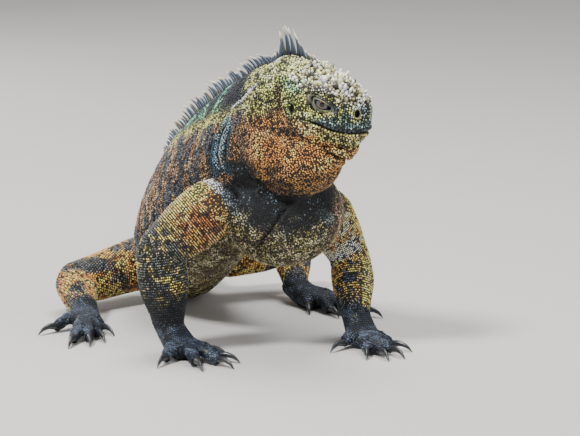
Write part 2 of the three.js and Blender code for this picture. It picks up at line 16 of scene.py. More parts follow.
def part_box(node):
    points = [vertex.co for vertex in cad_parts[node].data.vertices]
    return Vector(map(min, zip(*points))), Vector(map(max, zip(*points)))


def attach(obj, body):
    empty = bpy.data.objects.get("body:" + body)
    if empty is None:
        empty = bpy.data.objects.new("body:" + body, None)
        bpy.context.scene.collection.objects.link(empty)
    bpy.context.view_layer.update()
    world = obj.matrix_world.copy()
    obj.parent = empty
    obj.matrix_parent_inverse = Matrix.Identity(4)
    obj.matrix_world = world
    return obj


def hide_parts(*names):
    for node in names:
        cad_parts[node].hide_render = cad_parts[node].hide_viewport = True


bl_info = {
    "name": "Marine iguana figure",
    "version": (1, 0, 0),
    "blender": (4, 5, 0),
    "location": "View3D > Sidebar > Iguana",
    "description": "Skin, scales, crest, eyes and claws of a life-size marine iguana",
    "category": "Add Mesh",
}

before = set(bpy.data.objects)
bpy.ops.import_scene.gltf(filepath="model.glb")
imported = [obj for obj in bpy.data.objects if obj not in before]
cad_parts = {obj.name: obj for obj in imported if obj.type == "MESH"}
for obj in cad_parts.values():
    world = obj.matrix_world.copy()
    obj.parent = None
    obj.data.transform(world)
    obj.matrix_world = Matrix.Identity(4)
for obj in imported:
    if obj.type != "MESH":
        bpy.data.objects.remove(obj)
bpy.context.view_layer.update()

MM = 0.001
RAD = math.pi / 180
UP = np.array([0.0, 0.0, 1.0])

# Lowest place of any mesh, in metres.
LOWEST = 0.00002

# The photo camera in the animal's frame: its axes towards the camera, to the right and up, how far
# the picture's middle lies to the right and up, and the lens for a sensor 36 mm wide.
CAMERA_OUT = np.array([0.8012, -0.5610, 0.2079])
CAMERA_RIGHT = np.array([0.574, 0.819, 0.0])
CAMERA_UP = np.array([-0.1703, 0.1193, 0.9781])
PICTURE_MIDDLE = (13.3, 94.8)
FOCAL_LENGTH = 251.4

# What the skin hands on to the scales: its points, faces, normals, labels, weights and creases.
MODEL = {}

# Shape tables, the same as in the part's source.

HEAD_LENGTH = 54
HEAD_YAW = 25
HEAD_PITCH = 6
EYE_RADIUS = 6.6
CLAW_LENGTH = 15
TOE_END = 1.5
SKIN_GAP = 0.3
SKIN_DEPTH = 0.7

TRUNK = [
    (-214, 67, 24, 22, 22, 26, 0),
    (-190, 49, 33, 34, 32, 34, 8),
    (-156, 28, 56, 43, 40, 44, 20),
    (-112, 9, 85, 48, 47, 50, 20),
    (-62, 3, 118, 49, 53, 53, 14),
    (-10, 0, 150, 44, 52, 46, 8),
    (22, 1, 173, 35, 45, 36, 4),
    (42, 5, 185, 29, 34, 30, 0),
]
BREAST_CENTRE = (6, 6, 101)
BREAST_RADII = (36, 47, 41)
BREAST_AXES = ((0.88, -0.05, 0.47), (0.03, 1, 0.05), (-0.47, -0.03, 0.88))
TAIL_ROOT = (-190, 49)
TAIL_FORWARD = (0.819, -0.574)
TAIL_LEFT = (0.574, 0.819)
TAIL_LINE = [
    (24, -1, 25),
    (66, -12, 22),
    (120, -25, 19),
    (180, -27, 16.5),
    (240, -11, 14.5),
    (300, 18, 12.5),
    (360, 50, 10.5),
    (420, 74, 8.5),
    (480, 84, 6.5),
    (530, 78, 4.5),
    (568, 64, 2.5),
]
HEAD_ORIGIN = np.array([36.0, 2.0, 191.0])
SKULL = [
    (-28, 21, 20, 27),
    (-16, 26, 28.5, 30),
    (-4, 27.5, 29, 31),
    (8, 28, 26.5, 31.5),
    (18, 26, 23, 31.5),
    (28, 22.5, 19.5, 31),
    (37, 18, 16.5, 30.5),
    (44, 14.5, 13.5, 29),
    (49.5, 12, 9.5, 26.5),
    (HEAD_LENGTH - 1, 9, 4, 22),
]
SKULL_AXIS = -4
SKULL_POWER = 2.5
MOUTH_LINE = [(13, -10.6), (21, -11.6), (28, -13.4), (34, -15.8), (41, -16.8), (48, -17), (60, -15.5)]
THROAT = [
    (-40, -22, 25, 18, 17),
    (-24, -32, 31, 24, 27),
    (-8, -39, 32, 28, 33),
    (8, -41, 29, 26, 31),
    (21, -37, 22, 18, 24),
    (30, -33, 15, 11, 14.5),
    (40, -30.5, 11, 9, 8.2),
]

# The fold behind the mouth corner, darkened with painted shade: distance ahead and height.
MOUTH_CORNER = [(2, -14), (8, -11.5), (16, -10.8)]
EYE_PLACE = (26.5, 18.2, 2.5)

# The almond opening of the lids: half length, reach up and down, and shift ahead of the eyeball.
# Then the rims round it with their heights, and the furrows, both as multiples of its size.
LID_LONG = 5.7
LID_TALL = (2.0, 3.1)
LID_AHEAD = 2.0
LID_RIMS = {1.3: 0.65, 1.98: 0.55, 2.66: 0.4}
LID_FURROWS = (1.64, 2.32)

# Nostril and ear: place ahead and height, then half sizes.
NOSTRIL = (51.5, -2.4)
NOSTRIL_SIZE = (2.0, 2.9)
EAR = (7, -5)
EAR_CUP = (2.5, 4.8)

# Limbs: root and joints, half widths of the upper and lower bone, then the hand's aim, palm
# length and half width, and each digit's turn, root along the palm and length.
LIMBS = {
    "foreleg_right": (
        [(-6, -40, 110), (-8, -52, 106), (-23, -84, 78), (-20, -79, 25)],
        [(22, 21, 17), (18, 18.5, 12.5)],
        (4, 21, 13.5),
        [(52, 0.35, 17), (26, 0.8, 25), (5, 0.95, 30), (-22, 0.85, 29), (-58, 0.55, 21)],
    ),
    "foreleg_left": (
        [(0, 40, 100), (2, 48, 96), (-1, 72, 59), (26, 57, 25)],
        [(19.5, 18, 15), (15.5, 16, 12)],
        (-14, 21, 13),
        [(-56, 0.35, 16), (-20, 0.85, 25), (-3, 0.95, 30), (13, 0.9, 29), (36, 0.6, 22)],
    ),
    "hindleg_right": (
        [(-202, 32, 32), (-203, 22, 30), (-192, -50, 22), (-146, -72, 15)],
        [(21, 19, 17), (16, 14.5, 10)],
        (-28, 27, 12),
        [(30, 0.5, 17), (12, 0.85, 27), (-2, 0.95, 37), (-16, 0.9, 45), (-52, 0.3, 26)],
    ),
    "hindleg_left": (
        [(-176, 68, 34), (-172, 76, 36), (-162, 132, 38), (-122, 108, 15)],
        [(20, 19, 14.5), (15, 14, 9.5)],
        (2, 27, 12),
        [(-34, 0.5, 17), (-14, 0.85, 27), (0, 0.95, 37), (14, 0.9, 45), (48, 0.3, 26)],
    ),
}
LIMB_PARTS = {"foreleg": ("upper_arm", "forearm", "hand"), "hindleg": ("thigh", "shin", "foot")}


# Vectors, noise and curves.


def unit(v):
    return v / np.maximum(np.linalg.norm(v, axis=-1, keepdims=True), 1e-9)


def turned(v, axis, degrees):
    """Vectors turned about axes of length one."""
    a = np.radians(degrees)[..., None] if np.ndim(degrees) else np.radians(degrees)
    along = axis * (v * axis).sum(-1, keepdims=True)
    return v * np.cos(a) + np.cross(axis, v) * np.sin(a) + along * (1 - np.cos(a))


def hashed(ix, iy, iz, seed):
    h = (ix * 374761393 + iy * 668265263 + iz * 1442695041 + seed * 974634777) & 0xFFFFFFFF
    h = ((h ^ (h >> 13)) * 1274126177) & 0xFFFFFFFF
    return ((h ^ (h >> 16)) & 0xFFFFFF) / 0xFFFFFF


def noise(p, size, seed=0):
    """Smooth noise from 0 to 1 at points, with lumps of a size in millimetres."""
    q = p / np.asarray(size, float)
    i = np.floor(q).astype(np.int64)
    f = q - i
    f = f * f * (3 - 2 * f)
    total = np.zeros(len(p))
    for dx in (0, 1):
        for dy in (0, 1):
            for dz in (0, 1):
                w = (f[:, 0] if dx else 1 - f[:, 0]) * (f[:, 1] if dy else 1 - f[:, 1])
                w = w * (f[:, 2] if dz else 1 - f[:, 2])
                total += w * hashed(i[:, 0] + dx, i[:, 1] + dy, i[:, 2] + dz, seed)
    return total


def cloud(p, size, seed=0, octaves=3):
    """Noise in several sizes, each half the one before."""
    total = sum(noise(p, np.asarray(size, float) / 2**k, seed + 17 * k) / 2**k for k in range(octaves))
    return total / sum(1 / 2**k for k in range(octaves))


def ramp(x, low, high):
    """Rises softly from 0 at the low end to 1 at the high end."""
    t = np.clip((x - low) / (high - low), 0, 1)
    return t * t * (3 - 2 * t)


def bump_at(x, centre, width):
    """A soft bump, 1 at its centre."""
    return np.exp(-(((x - centre) / width) ** 2))


def blots(p, size, seed, low, high):
    """Soft-edged blots of noise, from 0 between them to 1 within."""
    return ramp(cloud(p, size, seed), low, high)


def table(x, rows):
    """Values read off a table of pairs, with straight lines between them."""
    return np.interp(x, *np.transpose(rows))


def run_of(points):
    """How far along a line of points each of them lies."""
    return np.concatenate([[0], np.cumsum(np.linalg.norm(np.diff(points, axis=0), axis=1))])


class Form:
    """A body form: stations along a smooth line, each with its half width and reach up and down."""

    def __init__(self, rows, power=2.0, power_above=None, up=UP):
        rows = np.array([tuple(r) + (0,) * (7 - len(r)) for r in rows], float)
        self.points, self.sizes = rows[:, :3], rows[:, 3:]
        self.last = len(rows) - 1
        self.power = power
        self.power_above = power_above or power
        self.up = np.asarray(up, float)

    def line(self, u):
        p = self.points
        padded = np.vstack([2 * p[0] - p[1], p, 2 * p[-1] - p[-2]])
        u = np.clip(u, 0, self.last)
        i = np.minimum(u.astype(int), self.last - 1)
        t = (u - i)[:, None]
        p0, p1, p2, p3 = (padded[i + k] for k in range(4))
        root = lambda a, b: np.maximum(((a - b) ** 2).sum(-1, keepdims=True) ** 0.25, 1e-4)
        d0, d1, d2 = root(p0, p1), root(p1, p2), root(p2, p3)
        m1 = ((p1 - p0) / d0 - (p2 - p0) / (d0 + d1) + (p2 - p1) / d1) * d1
        m2 = ((p2 - p1) / d1 - (p3 - p1) / (d1 + d2) + (p3 - p2) / d2) * d1
        cubic = 2 * p1 - 2 * p2 + m1 + m2
        square = -3 * p1 + 3 * p2 - 2 * m1 - m2
        return p1 + t * (m1 + t * (square + t * cubic))

    def size(self, u):
        u = np.clip(u, 0, self.last)
        i = np.minimum(u.astype(int), self.last - 1)
        t = (u - i)[:, None]
        a, b, c, d = (self.sizes[np.clip(i + k, 0, self.last)] for k in (-1, 0, 1, 2))
        return b + 0.5 * t * (c - a + t * (2 * a - 5 * b + 4 * c - d + t * (3 * (b - c) + d - a)))

    def frame(self, u):
        step = 1e-4 * self.last
        along = unit(self.line(u + step) - self.line(u - step))
        left = unit(np.cross(self.up, along))
        above = np.cross(along, left)
        side, up, down, roll = self.size(u).T
        return along, turned(left, along, roll), turned(above, along, roll), side, up, down

    def ring(self, u, degrees, grow=0.0, shrink=1.0, ahead=0.0):
        """Points at places on the line and turns round it, from 0 at the left through 90 on top."""
        u, degrees = np.broadcast_arrays(np.asarray(u, float), np.asarray(degrees, float))
        along, left, above, side, up, down = self.frame(u)
        c, s = np.cos(degrees * RAD), np.sin(degrees * RAD)
        power = np.where(s > 0, self.power_above, self.power)
        bend = lambda v: np.sign(v) * np.abs(v) ** (2 / power)
        tall = np.where(s > 0, up, down)
        out = self.line(u) + left * ((side * shrink + grow) * bend(c))[:, None]
        return out + above * ((tall * shrink + grow) * bend(s))[:, None] + along * ahead

    def shell(self, start=0.0, end=None, domes=(0.0, 0.0), grow=0.0, sides=40, step=2.5):
        """Points and triangles of the closed form, with flat or domed ends."""
        end = self.last if end is None else end
        ends = self.line(np.linspace(start, end, 40))
        count = max(4, int(np.linalg.norm(np.diff(ends, axis=0), axis=1).sum() / step))
        rows = [(u, 1.0, 0.0) for u in np.linspace(start, end, count + 1)]
        shares = (0.3, 0.55, 0.76, 0.9, 0.97)
        if domes[0]:
            rows = [(start, math.sqrt(1 - s * s), -domes[0] * s) for s in shares[::-1]] + rows
        if domes[1]:
            rows += [(end, math.sqrt(1 - s * s), domes[1] * s) for s in shares]
        turns = 360 * (np.arange(sides) + 0.5) / sides
        rings = [self.ring(u, turns, grow, k, a) for u, k, a in rows]
        along = self.frame(np.array([start, end], float))[0]
        tips = self.line(np.array([start, end], float))
        tail = tips[0] - along[0] * (domes[0] + grow)
        nose = tips[1] + along[1] * (domes[1] + grow)
        points = np.vstack(rings + [tail, nose])
        return points, tube_faces(len(rows), sides)


def tube_faces(rows, sides):
    """Triangles for rings of points closed by one point at each end, which are last in the list."""
    k = np.arange(sides)
    after = (k + 1) % sides
    first = rows * sides
    faces = [np.stack([np.full(sides, first), after, k], 1)]
    top = (rows - 1) * sides
    faces.append(np.stack([np.full(sides, first + 1), top + k, top + after], 1))
    for row in range(rows - 1):
        a, b = row * sides + k, row * sides + after
        faces.append(np.stack([a, b, b + sides], 1))
        faces.append(np.stack([a, b + sides, a + sides], 1))
    return np.vstack(faces)


def ball(centre, radii, axes, sides=48):
    """Points and triangles of a round piece of three radii turned to three axes."""
    rows = sides // 2
    lat = np.linspace(-math.pi / 2, math.pi / 2, rows + 2)[1:-1]
    turns = 2 * math.pi * np.arange(sides) / sides
    rings = [
        np.stack([np.cos(t) * np.cos(turns), np.cos(t) * np.sin(turns), np.full(sides, np.sin(t))], 1)
        for t in lat
    ]
    unit_ball = np.vstack(rings + [[0, 0, -1], [0, 0, 1]])
    return np.asarray(centre) + (unit_ball * radii) @ np.asarray(axes, float), tube_faces(rows, sides)


def tube(points, radii, sides=20):
    """A tapered round piece through a few points."""
    form = Form([tuple(p) + (r, r, r) for p, r in zip(points, radii)])
    return form.shell(domes=(radii[0] * 0.6, radii[-1] * 0.6), sides=sides, step=1.2)


# The animal's forms.

head_forward = np.array(
    [
        math.cos(HEAD_YAW * RAD) * math.cos(HEAD_PITCH * RAD),
        math.sin(HEAD_YAW * RAD) * math.cos(HEAD_PITCH * RAD),
        -math.sin(HEAD_PITCH * RAD),
    ]
)
head_left = unit(np.cross(UP, head_forward))
head_up = np.cross(head_forward, head_left)
HEAD_AXES = np.array([head_forward, head_left, head_up])


def in_head(x, y, z):
    """A place given in the head's own axes, in the animal's frame."""
    return HEAD_ORIGIN + np.array([x, y, z]) @ HEAD_AXES


def to_head(p):
    return (p - HEAD_ORIGIN) @ HEAD_AXES.T


def cheek(x, z, hand, out=0.0):
    """A point on the skull at a distance ahead and a height, on the left (1) or right (-1)."""
    rows = np.array(SKULL, float)
    i = min(max(int(np.searchsorted(rows[:, 0], x)) - 1, 0), len(rows) - 2)
    t = (x - rows[i, 0]) / (rows[i + 1, 0] - rows[i, 0])
    side, crown, jaw = rows[i, 1:] + (rows[i + 1, 1:] - rows[i, 1:]) * t
    reach = crown - SKULL_AXIS if z > SKULL_AXIS else jaw + SKULL_AXIS
    share = min(abs(z - SKULL_AXIS) / reach, 0.999)
    wide = side * (1 - share**SKULL_POWER) ** (1 / SKULL_POWER)
    return in_head(x, hand * (wide + out), z)


def ear_oval(x, z):
    """Rings round the ear cup, 1 at its edge."""
    return np.hypot((x - EAR[0]) / EAR_CUP[0], (z - EAR[1]) / EAR_CUP[1])


def skull_place(x):
    """Place along the skull's form at distances ahead."""
    return np.interp(x, [row[0] for row in SKULL], np.arange(len(SKULL)))


def tail_form():
    rows = []
    for i, (back, shift, height) in enumerate(TAIL_LINE):
        x = TAIL_ROOT[0] - back * TAIL_FORWARD[0] + shift * TAIL_LEFT[0]
        y = TAIL_ROOT[1] - back * TAIL_FORWARD[1] + shift * TAIL_LEFT[1]
        thin = 1 - i / (len(TAIL_LINE) - 1)
        rows.append((x, y, height, 1.6 + 21 * thin**1.25, height * 1.02, height + 0.8))
    return Form(rows)


def breast_form():
    """The round breast between the forelegs, as stations along its long axis."""
    rows = []
    for share in np.cos(np.linspace(math.pi * 0.96, math.pi * 0.04, 9)):
        centre = BREAST_CENTRE + np.array(BREAST_AXES[0]) * (BREAST_RADII[0] * share)
        side, tall = np.array(BREAST_RADII[1:]) * math.sqrt(1 - share * share)
        rows.append(tuple(centre) + (side, tall, tall))
    return Form(rows, up=BREAST_AXES[2])


def bone_form(a, b, widths):
    middle = (np.array(a) + np.array(b)) / 2
    places = [a, tuple(middle), b]
    return Form([tuple(p) + (w, w, w) for p, w in zip(places, widths)], power=2.1)


def hand_forms(wrist, aim, palm, width, digits):
    """A low palm from the wrist, and arched digits that come down to the floor."""
    x, y, z = wrist
    ahead = np.array([math.cos(aim * RAD), math.sin(aim * RAD)])
    at = lambda distance, height: (x + ahead[0] * distance, y + ahead[1] * distance, height)
    palm_form = Form(
        [
            at(-3, z) + (10.5, 9, 10),
            at(palm * 0.45, z * 0.5 + 2) + (width * 0.92, 8, 10.5),
            at(palm * 0.85, 8.5) + (width, 7, 9.8),
            at(palm + 3, 7.5) + (width * 0.85, 6, 9),
        ],
        power=2.3,
    )
    toes = []
    for turn, root, long in digits:
        heading = np.array([math.cos((aim + turn) * RAD), math.sin((aim + turn) * RAD)])
        start = np.array(at(palm * root, 0)[:2]) + heading * width * 0.35
        point = lambda distance, height: tuple(start + heading * distance) + (height,)
        toes.append(
            Form(
                [
                    point(-width * 0.5, 8.5) + (5, 4.6, 5),
                    point(long * 0.25, 10.5) + (5.2, 4.6, 4.8),
                    point(long * 0.65, 8.2) + (4.8, 4.3, 4.8),
                    point(long, 4.6) + (4.1, 3.7, 5.2),
                ],
                power=2.2,
            )
        )
    return palm_form, toes


def claw_form(toe):
    """A claw leaves the toe's end and curves down to the floor."""
    end = np.array([float(toe.last)])
    ahead = toe.frame(end)[0][0] * (1, 1, 0)
    ahead = ahead / np.linalg.norm(ahead)
    centre = toe.line(end)[0]
    root = TOE_END + SKIN_GAP + 0.2

    def point(share, height):
        return tuple((centre + ahead * (root + CLAW_LENGTH * share))[:2]) + (height,)

    return Form(
        [
            point(-0.16, 4.7) + (2.35, 2.5, 2.4),
            point(0.1, 5.4) + (2.3, 2.55, 2.3),
            point(0.36, 5.5) + (1.9, 2.15, 1.9),
            point(0.7, 4) + (1.25, 1.5, 1.25),
            point(0.9, 2) + (0.7, 0.8, 0.7),
            point(1, 0.7) + (0.3, 0.35, 0.3),
        ]
    )


def all_forms():
    """Every form of the body by name: the form, its ends, its domes and which way its scales lie."""
    forms = {
        "trunk": (Form(TRUNK, 2.15, 1.5), (0, 0), -1),
        "breast": (breast_form(), (1, 1), -1),
        "tail": (tail_form(), (6, 3), 1),
        "skull": (
            Form(
                [
                    (*in_head(x, 0, SKULL_AXIS), side, crown - SKULL_AXIS, jaw + SKULL_AXIS)
                    for x, side, crown, jaw in SKULL
                ],
                SKULL_POWER,
                up=head_up,
            ),
            (0, 2.5),
            -1,
        ),
        "throat": (
            Form([tuple(in_head(x, 0, z)) + (s, u, d) for x, z, s, u, d in THROAT], 2.1, up=head_up),
            (10, 9),
            -1,
        ),
    }
    for limb, (joints, widths, (aim, palm, width), digits) in LIMBS.items():
        kind, side = limb.split("_")
        upper, lower, hand = (f"{part}_{side}" for part in LIMB_PARTS[kind])
        forms[upper] = (bone_form(joints[1], joints[2], widths[0]), (12, 13), 1)
        forms[lower] = (bone_form(joints[2], joints[3], widths[1]), (11, 6), 1)
        palm_form, toes = hand_forms(joints[3], aim, palm, width, digits)
        forms[hand] = (palm_form, (5, 3), 1)
        for i, toe in enumerate(toes):
            forms[f"toe_{hand}_{i + 1}"] = (toe, (0, TOE_END), 1)
    return forms


FORMS = all_forms()
FORM_NAMES = list(FORMS)


def forms_named(*starts):
    """Which forms have names that start in one of these ways."""
    return np.array([name.startswith(starts) for name in FORM_NAMES])


def region_of(name):
    """The colour region of a form."""
    if name.startswith("toe_"):
        return "_".join(name.split("_")[1:3])
    return name


REGIONS = sorted({region_of(n) for n in FORM_NAMES})
REGION_OF_FORM = np.array([REGIONS.index(region_of(n)) for n in FORM_NAMES])

eye_low, eye_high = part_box("eye_right")
SHIFT = np.array((eye_low + eye_high) / 2) / MM - in_head(EYE_PLACE[0], -EYE_PLACE[1], EYE_PLACE[2])


# Mesh helpers.


def mesh_object(name, points, faces, tint=None, patch=None):
    """An object from points in the animal's frame and triangles, with its colours and bake map."""
    mesh = bpy.data.meshes.new(name)
    placed = (points + SHIFT) * MM
    placed[:, 2] = np.maximum(placed[:, 2], LOWEST)
    mesh.vertices.add(len(placed))
    mesh.vertices.foreach_set("co", placed.astype(np.float32).ravel())
    corners = np.ascontiguousarray(faces, np.int32).ravel()
    mesh.loops.add(len(corners))
    mesh.loops.foreach_set("vertex_index", corners)
    mesh.polygons.add(len(faces))
    mesh.polygons.foreach_set("loop_start", np.arange(len(faces), dtype=np.int32) * faces.shape[1])
    mesh.update(calc_edges=True)
    mesh.shade_smooth()
    if tint is not None:
        layer = mesh.color_attributes.new("tint", "FLOAT_COLOR", "POINT")
        layer.data.foreach_set("color", tint.astype(np.float32).ravel())
    if patch is not None:
        layer = mesh.uv_layers.new(name="OFBake")
        layer.data.foreach_set("uv", patch[corners].astype(np.float32).ravel())
    obj = bpy.data.objects.new(name, mesh)
    bpy.context.scene.collection.objects.link(obj)
    return obj


def edges_of(faces):
    pairs = np.sort(np.vstack([faces[:, [0, 1]], faces[:, [1, 2]], faces[:, [2, 0]]]), axis=1)
    return np.unique(pairs, axis=0)


def average(values, edges):
    """The mean of each point's neighbours."""
    a, b = edges.T
    count = len(values)
    weight = np.bincount(a, minlength=count) + np.bincount(b, minlength=count)
    columns = values.reshape(count, -1)
    out = np.stack(
        [
            np.bincount(a, columns[b, k], count) + np.bincount(b, columns[a, k], count)
            for k in range(columns.shape[1])
        ],
        1,
    )
    return (out / np.maximum(weight, 1)[:, None]).reshape(values.shape)


def relax(points, edges, weight, times):
    """Moves points towards the mean of their neighbours, some times over, in place."""
    for _ in range(times):
        points += (average(points, edges) - points) * np.reshape(weight, (-1, 1))


def normals_of(points, faces):
    a, b, c = (points[faces[:, k]] for k in range(3))
    across = np.cross(b - a, c - a)
    total = np.zeros_like(points)
    for k in range(3):
        for axis in range(3):
            total[:, axis] += np.bincount(faces[:, k], across[:, axis], len(points))
    return unit(total)


def refine(points, faces, zone):
    """Splits the edges inside a zone in two, and the triangles that touch them."""
    edges = edges_of(faces)
    split = edges[zone[edges[:, 0]] & zone[edges[:, 1]]]
    key = split[:, 0].astype(np.int64) * len(points) + split[:, 1]
    order = np.argsort(key)
    key, split = key[order], split[order]
    middles = points[split].mean(1)
    sides = np.sort(faces[:, [[0, 1], [1, 2], [2, 0]]], axis=2).astype(np.int64)
    wanted = sides[..., 0] * len(points) + sides[..., 1]
    found = np.clip(np.searchsorted(key, wanted), 0, max(len(key) - 1, 0))
    has = key[found] == wanted
    middle = found + len(points)
    made = [faces[has.sum(1) == 0]]
    a, b, c = faces.T
    ab, bc, ca = middle.T
    whole = has.all(1)
    for corners in ((a, ab, ca), (ab, b, bc), (ca, bc, c), (ab, bc, ca)):
        made.append(np.stack(corners, 1)[whole])
    for k in range(3):
        turn = [(k + j) % 3 for j in range(3)]
        p, q, r = (faces[:, t] for t in turn)
        pq, qr = middle[:, turn[0]], middle[:, turn[1]]
        one = (has.sum(1) == 1) & has[:, turn[0]]
        made += [np.stack([p, pq, r], 1)[one], np.stack([pq, q, r], 1)[one]]
        two = (has.sum(1) == 2) & has[:, turn[0]] & has[:, turn[1]]
        made += [np.stack(s, 1)[two] for s in ((p, pq, r), (pq, q, qr), (pq, qr, r))]
    return np.vstack([points, middles]), np.vstack(made)


# Skin.

# How far in millimetres the creases between forms spread and are filled, and how far the skin's
# lowest points stay above the floor.
VALLEY_SPREAD = 5
VALLEY_FILL = 34
SKIN_FLOOR = 0.25

# Folds of the skin, each a line of points with its depth and half width.
CREASES = [
    ([(63, -14, 187), (66, -10.5, 183), (70, -7.5, 179), (72, -3.5, 176), (74, 0, 173)], 1.0, 0.9),
    (
        [(51, -22, 178.5), (56.6, -19.4, 176), (60.3, -16.8, 174.6), (65, -9, 172), (69, -4, 171)],
        1.3,
        1.1,
    ),
    ([(72, -5, 184.5), (74.3, -1.3, 183), (77, 2, 183.5), (80, 5.4, 184.5)], 0.8, 0.9),
    ([(64, -5, 158), (67, 1, 155), (70, 5, 152), (71, 10, 149), (68, 18, 146), (61, 30, 147)], 2.8, 1.9),
    (
        [
            (62, -2, 160),
            (66, 0.6, 158.5),
            (70, 4.4, 158),
            (75, 8.4, 157.5),
            (78, 13, 157.5),
            (77, 22, 158),
        ],
        2.6,
        1.4,
    ),
    ([(15, -34, 133), (22, -30, 127), (30, -24, 121), (38, -14, 117), (46, 0, 116)], 1.6, 2.2),
    ([(22, -31, 78), (28, -27, 88), (33, -24, 95), (36, -16, 107), (38, -8, 113)], 1.7, 1.2),
    ([(-4, -36, 172), (-9, -41, 160), (-9, -44, 148), (-5, -43, 135)], 1.5, 1.8),
    ([(4, -33, 176), (0, -40, 160), (0, -42, 146), (3, -42, 134)], 1.1, 1.3),
    ([(-12, -36, 170), (-17, -42, 157), (-17, -44, 144), (-13, -45, 134)], 0.9, 1.5),
    ([(19, -23, 197), (21, -31, 186), (20, -33, 174)], 1.2, 1.7),
    ([(-24, 46, 172), (-17, 52, 158), (-12, 52, 142)], 1.4, 2.0),
    ([(-45, -44, 96), (-38, -47, 108), (-28, -49, 118)], 1.0, 2.2),
]


def eye_axes(hand):
    """Axes of the lids: towards the snout, up, and out of the head."""
    out = unit(np.array([2, hand * 29, 3.0]) @ HEAD_AXES)
    fore = hand * turned(unit(np.cross(out, head_up)), out, hand * 23)
    above = np.cross(out, fore)
    return fore, above if above @ UP > 0 else -above, out


def nostril_out(hand):
    return unit(np.array([17, hand * 18, 4.0]) @ HEAD_AXES)


def nostril_oval(p, hand):
    """Rings round one nostril, 1 at its edge."""
    v = p - cheek(*NOSTRIL, hand)
    out = nostril_out(hand)
    fore = unit(np.cross(head_up, out))
    long, wide = NOSTRIL_SIZE
    ring = np.hypot(v @ fore / long, v @ np.cross(out, fore) / wide)
    return np.where(np.abs(v @ out) < 6, ring, 9.0)


def lid_place(p, hand):
    """Places over one eye: forward, up and out from the eyeball, and rings of the almond opening."""
    fore, above, out = eye_axes(hand)
    v = p - in_head(EYE_PLACE[0], hand * EYE_PLACE[1], EYE_PLACE[2])
    a, b, c = v @ fore, v @ above, v @ out
    tall = np.where(b > 0, LID_TALL[0], LID_TALL[1])
    almond = (np.abs((a - LID_AHEAD) / LID_LONG) ** 1.7 + np.abs(b / tall) ** 1.7) ** (1 / 1.7)
    return a, b, c, almond


def skin_shells():
    grow = -SKIN_DEPTH
    shells = []
    for name, (form, domes, _) in FORMS.items():
        toe = name.startswith("toe_")
        shells.append(form.shell(domes=domes, grow=grow * (0.6 if toe else 1), sides=20 if toe else 48))
    for joints, widths, _, _ in LIMBS.values():
        reach = [widths[0][0] * 0.9 + grow, widths[0][0] + grow]
        shells.append(tube([joints[0], joints[1]], reach, 32))
    for hand in (1, -1):
        brow = [(10, 12, -2.6), (19, 11.5, -1.9), (29, 10, -1.5), (40, 6, -2.2)]
        shells.append(tube([cheek(x, z, hand, out) for x, z, out in brow], (3, 4.2, 4.2, 2.6)))
        shells.append(ball(cheek(8, -15, hand, -10), (15.4, 11.4, 12.4), HEAD_AXES))
    half = [(24, -8.2, -2), (31, -9.6, -1.3), (39, -12.6, -1.1), (46.5, -14, -1.1), (51, -13.6, -1.5)]
    lip = [cheek(x, z, -1, out) for x, z, out in half]
    lip += [in_head(HEAD_LENGTH - 2, 0, -12.6)] + [cheek(x, z, 1, out) for x, z, out in half[::-1]]
    thick = [1.6, 2.4, 2.7, 2.7, 2.7]
    shells.append(tube(lip, thick + [2.7] + thick[::-1]))
    return shells


def joined(shells):
    points, faces, start = [], [], 0
    for p, f in shells:
        points.append(p)
        faces.append(f + start)
        start += len(p)
    return np.vstack(points), np.vstack(faces)


def one_surface(voxel):
    """The outer surface of all the forms together, from a voxel remesh."""
    points, faces = joined(skin_shells())
    lump = mesh_object("skin_forms", points, faces)
    remesh = lump.modifiers.new("union", "REMESH")
    remesh.mode = "VOXEL"
    remesh.voxel_size = voxel * MM
    graph = bpy.context.evaluated_depsgraph_get()
    mesh = bpy.data.meshes.new_from_object(lump.evaluated_get(graph), depsgraph=graph)
    co = np.empty(len(mesh.vertices) * 3, np.float32)
    mesh.vertices.foreach_get("co", co)
    mesh.calc_loop_triangles()
    tris = np.empty(len(mesh.loop_triangles) * 3, np.int32)
    mesh.loop_triangles.foreach_get("vertices", tris)
    bpy.data.meshes.remove(mesh)
    bpy.data.objects.remove(lump)
    points = co.reshape(-1, 3).astype(float) / MM - SHIFT
    faces = tris.reshape(-1, 3)
    return keep_largest(points, faces)


def keep_largest(points, faces):
    """Leaves out loose scraps, by spreading the lowest number over each piece."""
    edges = edges_of(faces)
    label = np.arange(len(points))
    while True:
        before = label.copy()
        np.minimum.at(label, edges[:, 0], label[edges[:, 1]])
        np.minimum.at(label, edges[:, 1], label[edges[:, 0]])
        label = label[label]
        if (label == before).all():
            break
    main = np.bincount(label).argmax()
    keep = label == main
    number = np.cumsum(keep) - 1
    return points[keep], number[faces[keep[faces[:, 0]]]]


class Places:
    """Finds the form, place along it and turn round it that lie nearest to points."""

    def __init__(self):
        spots, labels = [], []
        for i, name in enumerate(FORM_NAMES):
            form, domes, _ = FORMS[name]
            toe = name.startswith("toe_")
            line = form.line(np.linspace(0, form.last, 60))
            length = np.linalg.norm(np.diff(line, axis=0), axis=1).sum()
            turns = np.arange(0, 360, 20 if toe else 7.5)
            for u in np.linspace(0, form.last, max(6, int(length / (1.5 if toe else 2.5)))):
                spots.append(form.ring(u, turns, -SKIN_DEPTH))
                labels.append(np.stack([np.full(len(turns), i), np.full(len(turns), u), turns], 1))
        self.spots, self.labels = np.vstack(spots), np.vstack(labels)
        self.tree = KDTree(len(self.spots))
        for k, spot in enumerate(self.spots):
            self.tree.insert(spot, k)
        self.tree.balance()

    def find(self, points):
        rows = np.array([self.tree.find(p)[1] for p in points])
        found = self.labels[rows]
        return found[:, 0].astype(int), found[:, 1], found[:, 2]


